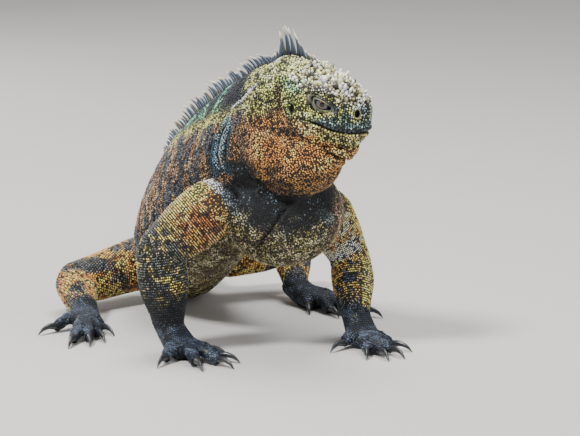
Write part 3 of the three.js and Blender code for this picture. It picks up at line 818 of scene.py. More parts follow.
def polyline(points, step=0.8):
    """Spots along a line through points, a step apart."""
    points = np.array(points, float)
    count = lambda a, b: max(2, int(np.linalg.norm(b - a) / step))
    return np.vstack([np.linspace(a, b, count(a, b)) for a, b in zip(points, points[1:])])


def folds(points, normals):
    """How far each skin point moves out for the named folds, whose lines are laid on the skin."""
    move = np.zeros(len(points))
    MODEL["creases"] = []
    for line, depth, wide in CREASES:
        spots = polyline(line)
        near = np.linalg.norm(points - spots.mean(0), axis=1) < np.ptp(spots, axis=0).max() + 4 * wide
        ids = np.where(near)[0]
        laid = ids[np.linalg.norm(points[ids][:, None] - spots[None], axis=2).argmin(0)]
        gaps = np.linalg.norm(points[ids][:, None] - points[laid][None], axis=2)
        along = gaps.argmin(1) / (len(spots) - 1)
        gap = gaps.min(1)
        fade = ramp(along, -0.01, 0.2) * ramp(-along, -1.01, -0.8)
        banks, floor = bump_at(gap, 2.3 * wide, wide), bump_at(gap, 0, wide)
        move[ids] += fade * (0.6 * depth * banks - depth * floor)
        # The crease lines, sunk a little into the skin, are kept for the painted shade in the creases.
        MODEL["creases"].append((points[laid] - normals[laid] * depth * 0.7, depth, wide))
    return move


def face_features(points):
    """Moves the head's skin into lids, nostrils, lips and ear cups."""
    local = to_head(points)
    near = np.where((local[:, 0] > -4) & (np.abs(local[:, 2]) < 34) & (local[:, 0] < 62))[0]
    p = points[near]
    q = local[near]
    x, y, z = q.T
    hand = np.where(y > 0, 1, -1)
    side = np.abs(y)

    # The mouth line, with a roll of lip above and below.
    away = z - table(x, MOUTH_LINE)
    front = ramp(x, 12, 20)
    mouth = 0.6 * bump_at(away, -2.6, 1.4) + 0.5 * bump_at(away, 2.2, 1.5) - 1.5 * bump_at(away, 0, 0.75)
    outward = unit(np.stack([np.maximum(x - 38, 0) * 1.1, y, np.zeros_like(x)], 1)) @ HEAD_AXES
    p = p + outward * (mouth * front)[:, None]

    # A fold from the mouth corner back under the cheek, darkened with painted shade in paint_head.
    corner = table(x, MOUTH_CORNER)
    crease = bump_at(z - corner, 0, 1.0) * ramp(x, 3, 9) * ramp(-x, -16, -13)
    p = p - outward * (0.9 * crease * (side > 8))[:, None]

    # Ear cup behind the jaw corner.
    ear = ear_oval(x, z)
    cup = 0.7 * bump_at(ear, 1.3, 0.25) - 2.6 * ramp(-ear, -1.05, -0.35)
    p = p + outward * (cup * (side > 10))[:, None]

    for sign in (1, -1):
        mine = hand == sign
        # Nostril: a raised oval rim round a hole.
        r = nostril_oval(p, sign)
        move = 1.0 * bump_at(r, 1.22, 0.3) - 3.4 * ramp(-r, -0.98, -0.72)
        p = p + nostril_out(sign) * (move * mine)[:, None]

        # Lids: a dome over the eyeball, rings of folds, and an almond opening.
        a, b, c, almond = lid_place(p, sign)
        flat = np.hypot(a, b)
        close = mine & (c > -2) & (flat < 16)
        lid = EYE_RADIUS + 0.6
        dome = np.sqrt(np.maximum(lid**2 - flat**2, 0))
        over = ramp(-flat, -lid - 1.5, -lid + 1.2)
        target = np.maximum(c * (1 - over) + dome * over, np.minimum(dome, c + 5) * over)
        loose = almond + 0.35 * (noise(p, 4.0, 61) - 0.5) * ramp(almond, 1.1, 1.6)
        rims = sum(size * bump_at(loose, ring, 0.13) for ring, size in LID_RIMS.items())
        rims -= sum(0.5 * bump_at(loose, ring, 0.1) for ring in LID_FURROWS)
        rims += 0.5 * (noise(p, 1.6, 62) - 0.5) * ramp(almond, 1.2, 1.5)
        target = target + rims * ramp(-flat, -15, -11)
        hollow = ramp(-almond, -1.04, -0.96)
        target = target * (1 - hollow) + (dome - 3.2) * hollow
        p = p + eye_axes(sign)[2] * ((target - c) * close)[:, None]
    points = points.copy()
    points[near] = p
    return points


def build_skin(voxel, quick):
    points, faces = one_surface(voxel)
    places = Places()
    part, _, _ = places.find(points)
    handy = forms_named("toe_", "hand", "foot")[part]

    # Concave creases where two forms meet are filled to soft valleys.
    edges = edges_of(faces)
    for _ in range(2):
        hollow = ((average(points, edges) - points) * normals_of(points, faces)).sum(1)
        weight = (hollow > 0.1 * voxel).astype(float)
        for _ in range(int(VALLEY_SPREAD / voxel)):
            weight = np.minimum(np.maximum(weight, average(weight, edges) * 1.25), 1)
        weight *= np.where(handy, 0.25, 1.0)
        relax(points, edges, 0.6 * weight, int(VALLEY_FILL / voxel))
    relax(points, edges, 0.5, 4)

    # The head is split finer, and finer still at the eyes, lips and nostrils.
    for level in range(1 if quick else 2):
        x, y, z = to_head(points).T
        zone = (x > -2) & (np.abs(y) < 34) & (z > -33) if level == 0 else (x > 12) & (z > -26) & (z < 14)
        points, faces = refine(points, faces, zone)
        edges = edges_of(faces)
        relax(points, edges, 0.5 * ramp(to_head(points)[:, 0], -8, 0), 6)

    part, u, turn = places.find(points)
    normal = normals_of(points, faces)
    body = forms_named("trunk", "throat")[part]
    lumps = (cloud(points, 26, 3) - 0.5) * 2.4
    wrinkle = 1 - np.abs(2 * cloud(points, (5, 14, 17), 9, 2) - 1)
    move = lumps * 0.7 + (wrinkle - 0.75) * 1.5 * body
    toes = forms_named("toe_")[part]
    joints = 0.3 * np.sin(u * 2 * math.pi * 1.35) * toes
    hands = forms_named("hand", "foot")[part]
    move = move * np.where(toes, 0.1, np.where(hands, 0.4, 1)) + joints + folds(points, normal)
    head = to_head(points)
    snout = ramp(head[:, 0], -6, 6) * ramp(-np.abs(head[:, 2]), -36, -30) * forms_named("skull")[part]
    points += normal * (move * (1 - 0.85 * snout))[:, None]
    points = face_features(points)
    points[:, 2] = np.maximum(points[:, 2], SKIN_FLOOR)
    return points, faces, (part, u, turn)


# Colours, given as seen on screen from 0 to 255.

INK = {
    "cream": (226, 222, 202),
    "bone": (176, 168, 142),
    "yellow_green": (200, 198, 112),
    "lime": (226, 226, 138),
    "moss": (104, 110, 70),
    "turquoise": (96, 168, 146),
    "mint": (120, 196, 150),
    "orange": (200, 142, 84),
    "gold": (236, 192, 128),
    "rust": (142, 88, 52),
    "brown": (124, 98, 74),
    "tan": (190, 160, 124),
    "umber": (76, 60, 48),
    "slate": (62, 70, 82),
    "black": (30, 33, 38),
    "blue_black": (20, 27, 38),
    "teal": (34, 70, 90),
    "grey_blue": (136, 156, 164),
    "white": (232, 234, 234),
    "olive": (112, 106, 70),
    "straw": (198, 184, 116),
    "ochre": (198, 152, 88),
    "yellow": (216, 190, 96),
    "lip_dark": (56, 72, 74),
    "lip_pale": (150, 172, 172),
    "lid": (160, 154, 150),
    "spine": (52, 64, 82),
    "spine_pale": (150, 164, 180),
    "tail": (82, 74, 60),
}
INK = {name: np.array(value) / 255 for name, value in INK.items()}

# Marks on the skin: places along the mark, its half width, its colour and how strong it is.
MARKS = [
    ([(-3, -36, 169), (-8, -42, 156), (-9, -43, 141)], 8.5, "grey_blue", 1.0),
    ([(2, -38, 164), (0, -42, 146), (2, -40, 134)], 3.4, "teal", 0.85),
    ([(-14, -42, 156), (-15, -44, 142), (-10, -44, 134)], 3.6, "teal", 0.85),
    ([(-22, 46, 160), (-14, 50, 146)], 9.0, "grey_blue", 0.7),
    ([(69, -8, 182), (72, -4.5, 183), (75, -1, 182)], 3.0, "lime", 0.75),
    ([(16, -19, 202), (8, -25, 194), (0, -29, 186), (-6, -32, 181)], 2.3, "white", 1.0),
    ([(-12, -50, 128), (-4, -52, 128), (6, -50, 124)], 5.0, "white", 1.0),
    ([(10, -46, 119), (14, -42, 108)], 5.0, "grey_blue", 0.8),
    ([(42, 15, 104), (40, 26, 98)], 6.0, "grey_blue", 0.6),
    ([(12, 50, 118), (2, 54, 122)], 5.0, "white", 0.6),
    ([(20, 46, 112), (26, 40, 100)], 5.0, "grey_blue", 0.6),
]

# The light stripe along the back: the place along the trunk and the turn away from the crest.
STRIPE = [(2.6, 12), (3.4, 16), (4.06, 32), (4.47, 42), (5.0, 50), (5.53, 60), (6.2, 70)]

# Mint patches beside the crest, by their place along the trunk.
MINT = (5.02, 4.56, 4.2, 3.74, 3.3)

# The black of the chest together with painted shade under the throat: its middle and its reach forward,
# sideways and up.
CHEST_BLACK_AND_SHADE = ((30, -6, 127), (44, 50, 34))


def ink_of(colour):
    return INK[colour] if isinstance(colour, str) else colour


def shade(base, over, weight):
    """One colour laid over another, each given by its name or its values."""
    return ink_of(base) * (1 - weight[:, None]) + ink_of(over) * weight[:, None]


def gap_to(p, spots):
    """How far points are from a row of spots, up to 20 mm."""
    gap = np.full(len(p), 1e3)
    near = np.where(((p > spots.min(0) - 20) & (p < spots.max(0) + 20)).all(1))[0]
    for spot in spots:
        gap[near] = np.minimum(gap[near], np.linalg.norm(p[near] - spot, axis=1))
    return gap


def mark_cover(p, mark):
    """How much a mark covers points, with an uneven edge."""
    line, wide, _, strength = mark
    gap = gap_to(p, polyline(line, 2.0)) + (cloud(p, 5, 81) - 0.5) * wide * 1.3
    return ramp(-gap, -wide, -wide * 0.6) * strength


def crease_shadow(p):
    """How much painted shade points get from lying deep in a crease."""
    deep = np.zeros(len(p))
    for spots, depth, wide in MODEL["creases"]:
        deep = np.maximum(deep, min(depth / 1.5, 1) * bump_at(gap_to(p, spots[::2]), 0, wide * 0.9))
    return deep


def paint_trunk(p, u, turn, _):
    n = cloud(p, 12, 1)
    streak = cloud(p, (5, 9, 26), 5)
    colour = shade("brown", "tan", blots(p, 6, 2, 0.44, 0.64) * 0.9)
    colour = shade(colour, "rust", ramp(n, 0.52, 0.68) * 0.35)
    colour = shade(colour, "slate", ramp(0.6 * streak + 0.4 * cloud(p, 8, 15), 0.49, 0.55) * 0.85)
    off = np.abs(turn - 90)
    edge = table(u, STRIPE) + (n - 0.5) * 10
    colour = shade(colour, "blue_black", ramp(edge - off, 2, 8) * 0.92)
    colour = shade(colour, "moss", bump_at(edge - off, 7, 5) * ramp(u, 3.2, 4.4) * 0.7)
    line = bump_at(edge - off, 0, 4.2) * ramp(u, 2.9, 4.0)
    colour = shade(colour, "yellow_green", line * (0.6 + 0.4 * ramp(n, 0.35, 0.55)))
    for spot in MINT:
        patch = bump_at(u + 0.003 * (off - 15), spot, 0.1) * ramp(edge - off, 3, 9) * ramp(off, 2, 8)
        colour = shade(colour, "mint", np.clip(1.6 * patch, 0, 1) * blots(p, 4, 7, 0.36, 0.5))
    nape = ramp(u, 5.62, 5.86) * ramp(-off, -88, -70)
    yellows = shade("yellow_green", "lime", ramp(n, 0.4, 0.55))
    yellows = shade(yellows, "black", blots(p, 3.4, 16, 0.54, 0.62) * 0.8)
    colour = shade(colour, yellows, nape)
    side = ramp(u, 4.9, 5.5) * ramp(off, 66, 84)
    warm = shade(INK["orange"] * 0.85, "umber", blots(p, 6, 6, 0.42, 0.57) * 0.8)
    colour = shade(colour, warm, side * 0.85)
    under = ramp(-np.abs(turn - 270), -66, -44) * ramp(-u, -5.4, -4.6)
    colour = shade(colour, paint_belly(p), under)
    return shade(colour, "blue_black", chest_shadow(p))


def paint_belly(p):
    """Olive skin with dark patches and pale flecks."""
    colour = shade("olive", "umber", blots(p, 14, 18, 0.5, 0.62) * 0.4)
    colour = shade(colour, "bone", blots(p, 4, 8, 0.46, 0.58) * 0.75)
    return shade(colour, "umber", blots(p, (9, 9, 5), 11, 0.54, 0.64) * 0.7)


def chest_shadow(p):
    """How dark the chest is under the throat, strongest between the shoulders: its own black with
    painted shade.
    """
    away = np.linalg.norm((p - CHEST_BLACK_AND_SHADE[0]) / CHEST_BLACK_AND_SHADE[1], axis=1) + (cloud(p, 7, 12) - 0.5) * 0.5
    fleck = ramp(noise(p, 3.4, 19), 0.6, 0.72) * ramp(-p[:, 2], -118, -100)
    return 0.96 * ramp(-away, -1.1, -0.8) * (1 - 0.5 * fleck)


def paint_breast(p, *_):
    colour = shade(paint_belly(p), "blue_black", chest_shadow(p))
    warm = shade("brown", "tan", blots(p, 6, 13, 0.45, 0.6))
    warm = shade(warm, "umber", blots(p, 7, 14, 0.5, 0.62) * 0.6)
    return shade(colour, warm, ramp(p[:, 1] + 8 * cloud(p, 9, 17), 26, 40) * ramp(-p[:, 2], -118, -106))


def crown_share(p):
    """How far points lie on the pale crown and snout."""
    x, _, z = to_head(p).T
    return np.maximum(ramp(x, -6, 10) * ramp(z, 7, 12), ramp(x, 34, 42) * ramp(z, 0, 5))


def paint_head(p, *_):
    x, y, z = to_head(p).T
    side = np.abs(y)
    n = cloud(p, 5, 21)
    colour = shade("yellow_green", "moss", ramp(n, 0.42, 0.56) * 0.8)
    colour = shade(colour, "lime", ramp(-x, -8, 4) * ramp(z, 2, 10) * blots(p, 6, 28, 0.36, 0.5) * 0.85)
    colour = shade(colour, "black", ramp(-x, -2, 8) * blots(p, 3.4, 29, 0.57, 0.64) * 0.75)
    cheek_light = bump_at(np.hypot((x - 17) / 13, (z + 7) / 3.6), 0, 0.8)
    colour = shade(colour, "lime", cheek_light * 0.8)
    crown = crown_share(p)
    cream = shade("cream", "bone", blots(p, 4, 20, 0.48, 0.6) * 0.85)
    cream = shade(cream, "lime", ramp(-x, -12, 4) * 0.8)
    colour = shade(colour, cream, crown)
    blue = bump_at(np.hypot((x - 4) / 9, (z - 13) / 7), 0, 0.8) * (side > 8)
    colour = shade(colour, "turquoise", blue * 0.8)
    away = z - table(x, MOUTH_LINE)
    front = ramp(x, 18, 27)
    muzzle = ramp(x, 24, 34) * ramp(-z, -6, -1) * ramp(away, 3, 5)
    colour = shade(colour, "lip_dark", muzzle * blots(p, 4.2, 24, 0.48, 0.56) * 0.85)
    colour = shade(colour, "lip_pale", muzzle * blots(p, 3.6, 25, 0.54, 0.62) * 0.6)
    pale_nose = bump_at(np.hypot((x - 53) / 5, (z - 1) / 7), 0, 0.9)
    colour = shade(colour, "grey_blue", pale_nose * 0.5)
    upper = ramp(away, 0, 0.6) * ramp(-away, -7, -5) * front
    colour = shade(colour, "lip_dark", upper * 0.9)
    upper_pale = upper * ramp(away, 2.6, 3.6) * blots(p, 3.4, 26, 0.48, 0.56)
    colour = shade(colour, "lip_pale", upper_pale * 0.7)
    colour = shade(colour, "black", bump_at(away, 1.2, 1.5) * front * 0.85)
    colour = shade(colour, "lip_pale", bump_at(away, -1.6, 1.2) * ramp(x, 32, 42) * 0.4)
    # Painted shade in the slit between the lips.
    colour = shade(colour, "black", bump_at(away, 0, 0.9) * ramp(x, 10, 15) * 0.9)
    lower = ramp(-away, 0.8, 2.0) * ramp(away, -14, -12) * ramp(x, 24, 30)
    jaw = shade("straw", "olive", blots(p, 4, 27, 0.44, 0.54) * 0.9)
    colour = shade(colour, jaw, lower)
    chin = shade("orange", "gold", ramp(n, 0.4, 0.56) * 0.7)
    colour = shade(colour, chin, ramp(-away, 11.5, 13.5) * ramp(x, 24, 30))
    jowl = ramp(-away, 1, 3) * ramp(-x, -30, -24)
    beads = shade("orange", "gold", ramp(n, 0.42, 0.56))
    colour = shade(colour, beads, jowl * 0.9)
    # Painted shade: the hollow of the ear cup is darkened to black.
    cup = ramp(-ear_oval(x, z), -1.1, -0.7) * (side > 12)
    colour = shade(colour, "black", cup * 0.9)
    corner = table(x, MOUTH_CORNER)
    # Painted shade along the fold behind the mouth corner.
    corner_crease_shade = bump_at(z - corner, 0, 1.2) * ramp(x, 3, 9) * ramp(-x, -20, -14) * (side > 8)
    colour = shade(colour, "umber", corner_crease_shade * 0.8)
    # Painted shade: a dark umber band for the fold behind the jaw.
    fold = bump_at(x + 0.25 * z, -5, 3.2) * ramp(-np.abs(z + 1), -15, -9) * (side > 12)
    colour = shade(colour, "umber", fold * 0.85)
    for hand in (1, -1):
        ahead, _, out, almond = lid_place(p, hand)
        broken = ramp(noise(p, (2.2, 2.2, 1.4), 63), 0.3, 0.62)
        near = ramp(-almond, -2.9, -1.8) * (out > -1) * (0.45 + 0.55 * ramp(-ahead, -4, 2))
        colour = shade(colour, "lid", near * (0.4 + 0.45 * broken))
        # Painted shade: black lines along the lid edge and in the furrows round the eye.
        dark = bump_at(almond, 1.0, 0.22)
        dark = dark + sum(bump_at(almond, ring, 0.2) for ring in LID_FURROWS) * (0.5 + 0.4 * broken)
        colour = shade(colour, "black", np.clip(dark, 0, 1) * (out > -1) * 0.9)
        oval = nostril_oval(p, hand)
        colour = shade(colour, "gold", bump_at(oval, 1.28, 0.2) * 0.55)
        # Painted shade: the nostril's hole is darkened to black inside its gold rim.
        colour = shade(colour, "black", ramp(-oval, -1.08, -0.9))
    return colour


def paint_throat(p, *_):
    x, _, z = to_head(p).T
    n = cloud(p, 10, 31)
    colour = shade("orange", "gold", blots(p, 9, 32, 0.38, 0.6) * 0.75)
    colour = shade(colour, "rust", ramp(n, 0.5, 0.64) * 0.5)
    low = ramp(-z, 38, 62)
    flecked = shade("brown", "ochre", ramp(n, 0.4, 0.6) * 0.8)
    colour = shade(colour, flecked, low * 0.85)
    spots = ramp(noise(p, 4.6, 35), 0.56, 0.68) * (0.3 + 0.65 * low)
    # Painted shade: the throat is darker towards its underside.
    colour = shade(colour, "umber", spots) * (1 - 0.24 * low[:, None])
    back = ramp(-x, 12, 32)
    colour = shade(colour, "brown", back * 0.8)
    return shade(colour, "slate", ramp(-x, 16, 36) * blots(p, (5, 5, 16), 37, 0.47, 0.57) * 0.75)


def paint_tail(p, u, *_):
    n = cloud(p, 9, 41)
    colour = shade("tail", "olive", ramp(n, 0.46, 0.62) * 0.7)
    bands = ramp(np.sin(u * 2 * math.pi * 1.05 + 2.2 * (n - 0.5)), -0.1, 0.5)
    colour = shade(colour, "black", bands * 0.65)
    return shade(colour, "ochre", blots(p, 5, 44, 0.56, 0.68) * ramp(-u, -3.5, -0.5) * 0.7)


# Turn round the left foreleg's bones at which their yellow outer rim lies.
LEFT_RIM = {"upper_arm_left": 130, "forearm_left": 40}


def paint_arm(p, u, turn, name):
    n = cloud(p, 8, 51)
    fine = cloud(p, 4.5, 52)
    yellows = shade("yellow", "gold", ramp(n, 0.44, 0.58) * 0.6)
    dotted = shade(yellows, "slate", ramp(fine, 0.36, 0.5) * 0.85)
    away = np.abs((turn - LEFT_RIM.get(name, 0) + 180) % 360 - 180)
    if name == "upper_arm_right":
        colour = shade("ochre", "rust", ramp(n, 0.42, 0.56) * 0.85)
        colour = shade(colour, "cream", ramp(fine, 0.5, 0.64) * 0.25)
        colour = shade(colour, "umber", blots(p, 6, 53, 0.55, 0.64) * 0.75)
        at = (turn + 20) % 360 - 20 + 60 * (fine - 0.5)
        colour = shade(colour, yellows, ramp(at, 20, 44) * ramp(-at, -250, -200))
        return shade(colour, dotted, ramp(u + (n - 0.5) * 0.9, 0.9, 1.6))
    if name == "upper_arm_left":
        colour = shade("tan", "orange", ramp(n, 0.42, 0.56) * 0.7)
        colour = shade(colour, "cream", ramp(fine, 0.5, 0.64) * 0.45)
        colour = shade(colour, "umber", blots(p, 6, 53, 0.55, 0.64) * 0.75)
        # Painted light: the left upper arm is lightened.
        colour = np.minimum(colour * 1.5, 0.8)
        colour = shade(colour, yellows, ramp(-away - 30 * (fine - 0.5), -44, -22))
        return shade(colour, dotted, ramp(u + (n - 0.5) * 0.8, 1.4, 1.9))
    colour = shade(dotted, "blue_black", ramp(-p[:, 2], -64, -34) * 0.85)
    if name == "forearm_left":
        bands = blots(p, (7, 7, 4), 55, 0.42, 0.52)
        mottle = shade("slate", "ochre", bands * ramp(p[:, 2], 28, 42))
        colour = shade(colour, mottle, ramp(away, 26, 44) * 0.85)
        # Painted light: the left forearm's yellow rim and the whole forearm are lightened.
        colour = shade(colour, yellows * 1.12, ramp(-away, -36, -20) * ramp(p[:, 2], 22, 34) * 0.9)
        colour = np.minimum(colour * 1.15, 0.96)
    return colour


def paint_leg(p, *_):
    colour = shade("ochre", "straw", blots(p, 8, 61, 0.46, 0.6) * 0.7)
    colour = shade(colour, "slate", blots(p, 12, 63, 0.5, 0.62) * 0.85)
    return shade(colour, "rust", blots(p, 5, 64, 0.54, 0.68) * 0.6)


def paint_hand(p, *_):
    colour = shade("blue_black", "slate", blots(p, 6, 71, 0.4, 0.6) * 0.9)
    return shade(colour, "olive", ramp(noise(p, 3.2, 72), 0.8, 0.9) * 0.4)


# The paint of each region, by how its name starts.
PAINTS = {
    "trunk": paint_trunk,
    "skull": paint_head,
    "throat": paint_throat,
    "breast": paint_breast,
    "tail": paint_tail,
    "upper_arm": paint_arm,
    "forearm": paint_arm,
    "thigh": paint_leg,
    "shin": paint_leg,
    "hand": paint_hand,
    "foot": paint_hand,
}


def by_start(rows, name):
    """The row of a table whose key is how a name starts."""
    return next(row for start, row in rows.items() if name.startswith(start))


def markings(p, weights, u, turn):
    """The colour of the skin at points, from the regions they belong to and the marks near them, with
    painted shade in the creases.
    """
    total = np.zeros((len(p), 3))
    for k, name in enumerate(REGIONS):
        mine = np.where(weights[:, k] > 0.01)[0]
        if len(mine):
            colour = by_start(PAINTS, name)(p[mine], u[mine], turn[mine], name)
            total[mine] += colour * weights[mine, k : k + 1]
    total /= np.maximum(weights.sum(1), 1e-6)[:, None]
    for mark in MARKS:
        total = shade(total, mark[2], mark_cover(p, mark))
    # Painted shade: the colour is darkened deep in the skin's creases.
    return total * (1 - 0.8 * crease_shadow(p))[:, None]


def to_linear(colour):
    colour = np.clip(colour, 0, 1)
    return np.where(colour < 0.04045, colour / 12.92, ((colour + 0.055) / 1.055) ** 2.4)


def tint_rows(colour, rise):
    """Colours for a mesh layer: the tint, and in the fourth place the height above the root, which sets
    the painted shade and light of the finish.
    """
    grey = colour.mean(1, keepdims=True)
    colour = np.clip(grey + (colour - grey) * 1.1, 0.01, 1)
    return np.hstack([to_linear(colour), np.reshape(rise, (-1, 1))])


# Scales.

# For each kind of form: how far apart the scales lie along and round it, and their height.
LAY = {
    "trunk": (1.52, 1.5, 0.6),
    "breast": (1.6, 1.6, 0.5),
    "tail": (3.7, 2.8, 1.15),
    "skull": (1.75, 1.75, 0.62),
    "throat": (1.55, 1.55, 0.7),
    "upper_arm": (1.75, 1.5, 0.62),
    "forearm": (1.85, 1.5, 0.62),
    "thigh": (2.15, 2.15, 0.78),
    "shin": (2.1, 2.2, 0.78),
    "hand": (1.8, 1.8, 0.5),
    "foot": (1.9, 1.9, 0.5),
    "toe": (1.7, 2.6, 0.45),
}


# How far scales stray from their rows, as a share of the spacing. Other forms have 0.08.
LOOSE = {"skull": 0.24, "trunk": 0.2, "breast": 0.3, "throat": 0.27}

# How close scales may lie, as a share of their sizes: knobs, lip plates, rows on the skull, other
# rows, and the places tried between rows, of which there is one to so many mm2 of skin.
CROWD = {"knob": 0.74, "lip": 0.7, "skull": 0.66, "rows": 0.72, "between": 0.8}
BETWEEN_AREA = 1.2

# Farthest a place may lie from the skin, the lowest one with a scale, and the search grid's cell.
STRAY = 3.6
LOWEST_SCALE = 0.7
CELL = 3.4

# Lower edge of the knobs on the crown: distance ahead and height.
CROWN_EDGE = [(-5, 13), (10, 11), (22, 9.5), (34, 8), (42, 1.5), (54, 0.5)]

# Half width of a scale's patch on the bake map.
PATCH_HALF = 0.0015


def rows_on(name, rng):
    """Places for scales in staggered rows round a form: place along it and turn round it."""
    form = FORMS[name][0]
    step_along, step_round, _ = by_start(LAY, name)
    loose = LOOSE.get(name, 0.08)
    fine = np.linspace(0, form.last, 300)
    run = run_of(form.line(fine))
    count = int(run[-1] / step_along)
    turns = np.arange(0, 365, 5.0)
    places = []
    for k, u in enumerate(np.interp((np.arange(count) + 0.5) * step_along, run, fine)):
        reach = run_of(form.ring(u, turns))
        n = max(6, int(round(reach[-1] / step_round)))
        at = ((np.arange(n) + 0.5 * (k % 2) + rng.uniform(-loose, loose, n)) * reach[-1] / n) % reach[-1]
        shift = rng.uniform(-loose, loose, n) * step_along * form.last / run[-1]
        places.append(np.stack([u + shift, np.interp(at, reach, turns)], 1))
    return np.vstack(places)


# Outlines of the scales, from the root up: radius, height and shift to the rear of each ring.
GRANULE = ([(1.0, -0.45, 0.0), (0.8, 0.45, 0.04)], (1.0, 0.14), 5)
KEELED = ([(1.0, -0.45, 0.0), (0.84, 0.35, 0.1), (0.42, 0.8, 0.35)], (1.05, 0.6), 6)
PLATE = ([(1.06, -0.45, 0.0), (0.88, 0.5, 0.0), (0.5, 0.8, 0.05)], (0.9, 0.1), 6)
KNOB = ([(1.04, -0.5, 0.0), (0.92, 0.12, 0.0), (0.6, 0.55, 0.05), (0.3, 1.0, 0.12)], (0.86, 0.14), 7)


def scale_mesh(shape, place, normal, lie, half_long, half_wide, tall, rng, rough=0.1):
    """Joined scales of one outline: points, triangles and each point's height share.

    The roughness makes the outlines uneven and lets the tips lean.
    """
    rings, (tip, tip_back), sides = shape
    across = np.cross(normal, lie)
    turns = 2 * math.pi * (np.arange(sides) + 0.5) / sides
    count = len(place)
    uneven = 1 + rng.uniform(-rough, rough, (count, sides))
    lean_long, lean_wide = rng.uniform(-rough, rough, (2, count))
    layers, rises = [], []
    for radius, height, back in rings:
        rise = max(height, 0)
        ahead = np.cos(turns)[None] * radius * uneven + back + rise * lean_long[:, None]
        ahead = ahead * half_long[:, None]
        aside = np.sin(turns)[None] * radius * uneven + rise * lean_wide[:, None]
        aside = aside * half_wide[:, None]
        lift = np.broadcast_to((height * tall)[:, None], ahead.shape)
        point = place[:, None] + lie[:, None] * ahead[..., None] + across[:, None] * aside[..., None]
        layers.append(point + normal[:, None] * lift[..., None])
        rises.append(np.full((count, sides), rise))
    top = place + lie * ((tip_back + lean_long) * half_long)[:, None] + normal * (tip * tall)[:, None]
    top = top + across * (lean_wide * half_wide)[:, None]
    layers.append(top[:, None])
    rises.append(np.full((count, 1), 1.0))
    points = np.concatenate(layers, 1)
    size = points.shape[1]
    k = np.arange(sides)
    after = (k + 1) % sides
    faces = []
    for row in range(len(rings) - 1):
        a, b = row * sides + k, row * sides + after
        faces += [np.stack([a, b, b + sides], 1), np.stack([a, b + sides, a + sides], 1)]
    a, b = (len(rings) - 1) * sides + k, (len(rings) - 1) * sides + after
    faces.append(np.stack([a, b, np.full(sides, size - 1)], 1))
    faces = np.vstack(faces)
    handed = np.einsum("ij,ij->i", np.cross(lie, across), normal)
    whole = faces[None] + (np.arange(count) * size)[:, None, None]
    whole = np.where((handed < 0)[:, None, None], whole[..., ::-1], whole)
    return points.reshape(-1, 3), whole.reshape(-1, 3), np.concatenate(rises, 1).ravel(), size


def atlas(form_ids, u, turn):
    """Where a skin place lies on the flat map of all the forms, each unrolled in its own cell."""
    columns = 8
    last = np.array([FORMS[n][0].last for n in FORM_NAMES])[form_ids]
    x = (form_ids % columns + 0.04 + 0.92 * np.clip(u / last, 0, 1)) / columns
    y = (form_ids // columns + 0.04 + 0.92 * (turn % 360) / 360) / columns
    return np.stack([x, y], 1)


def bare_places(p):
    """Where no scales lie: the open eye, the nostril, the mouth line and the ear cup."""
    x, _, z = to_head(p).T
    bare = (np.abs(z - table(x, MOUTH_LINE)) < 0.8) & (x > 15) & (x < 62)
    bare |= ear_oval(x, z) < 0.7
    for hand in (1, -1):
        a, _, c, almond = lid_place(p, hand)
        bare |= (almond < 2.0 + 0.4 * ramp(-a, -1, 4)) & (c > 0)
        bare |= nostril_oval(p, hand) < 1.3
    return bare


def crown_places(rng):
    """Knobs of the crown and snout: place along the skull, turn round it and width."""
    form = FORMS["skull"][0]
    turns = np.arange(22, 159, 2.0)
    rows = []
    x, k = -2.0, 0
    while x < HEAD_LENGTH:
        wide = 2.3 + (ramp(x, 4, 26) - ramp(x, 38, 48)) + rng.uniform(-0.2, 0.2)
        u = skull_place(x)
        reach = run_of(form.ring(u, turns))
        at = np.arange(0.5 * (k % 2), reach[-1] / wide, 1) * wide
        at = at + rng.uniform(-0.18, 0.18, len(at)) * wide
        turn = np.interp(at, reach, turns)
        shift = rng.uniform(-0.08, 0.08, len(at))
        rows.append(np.stack([u + shift, turn, wide * rng.uniform(0.72, 1.25, len(at))], 1))
        x += wide * 0.9
        k += 1
    return np.vstack(rows)


def lip_places():
    """Plates along the upper and lower lip: places, lengths and widths."""
    rows = []
    for lift, step, tall in ((2.2, 2.6, 2.7), (-1.9, 2.0, 1.9)):
        for hand in (1, -1):
            for x in np.arange(24, 52.5, step):
                z = table(x, MOUTH_LINE) + lift
                rows.append((*cheek(x, z, hand, 0.6), step, tall))
        for y in np.arange(-6.5, 6.6, step):
            rows.append((*in_head(54.6, y, -16.4 + lift), step, tall))
    return np.array(rows)


# The kinds of scale, and for each its outline, its half width as a share of the spacing, and how
# uneven it is.
KINDS = {"granule": 0, "keeled": 1, "plate": 2, "knob": 3}
OUTLINES = ((GRANULE, 0.54, 0.12), (KEELED, 0.58, 0.12), (PLATE, 0.55, 0.12), (KNOB, 0.58, 0.3))


def candidates(spots, *columns):
    """Rows for places a scale may take: spot, form, place, turn, length, width, height and kind."""
    return np.column_stack([spots] + [np.broadcast_to(column, len(spots)) for column in columns])


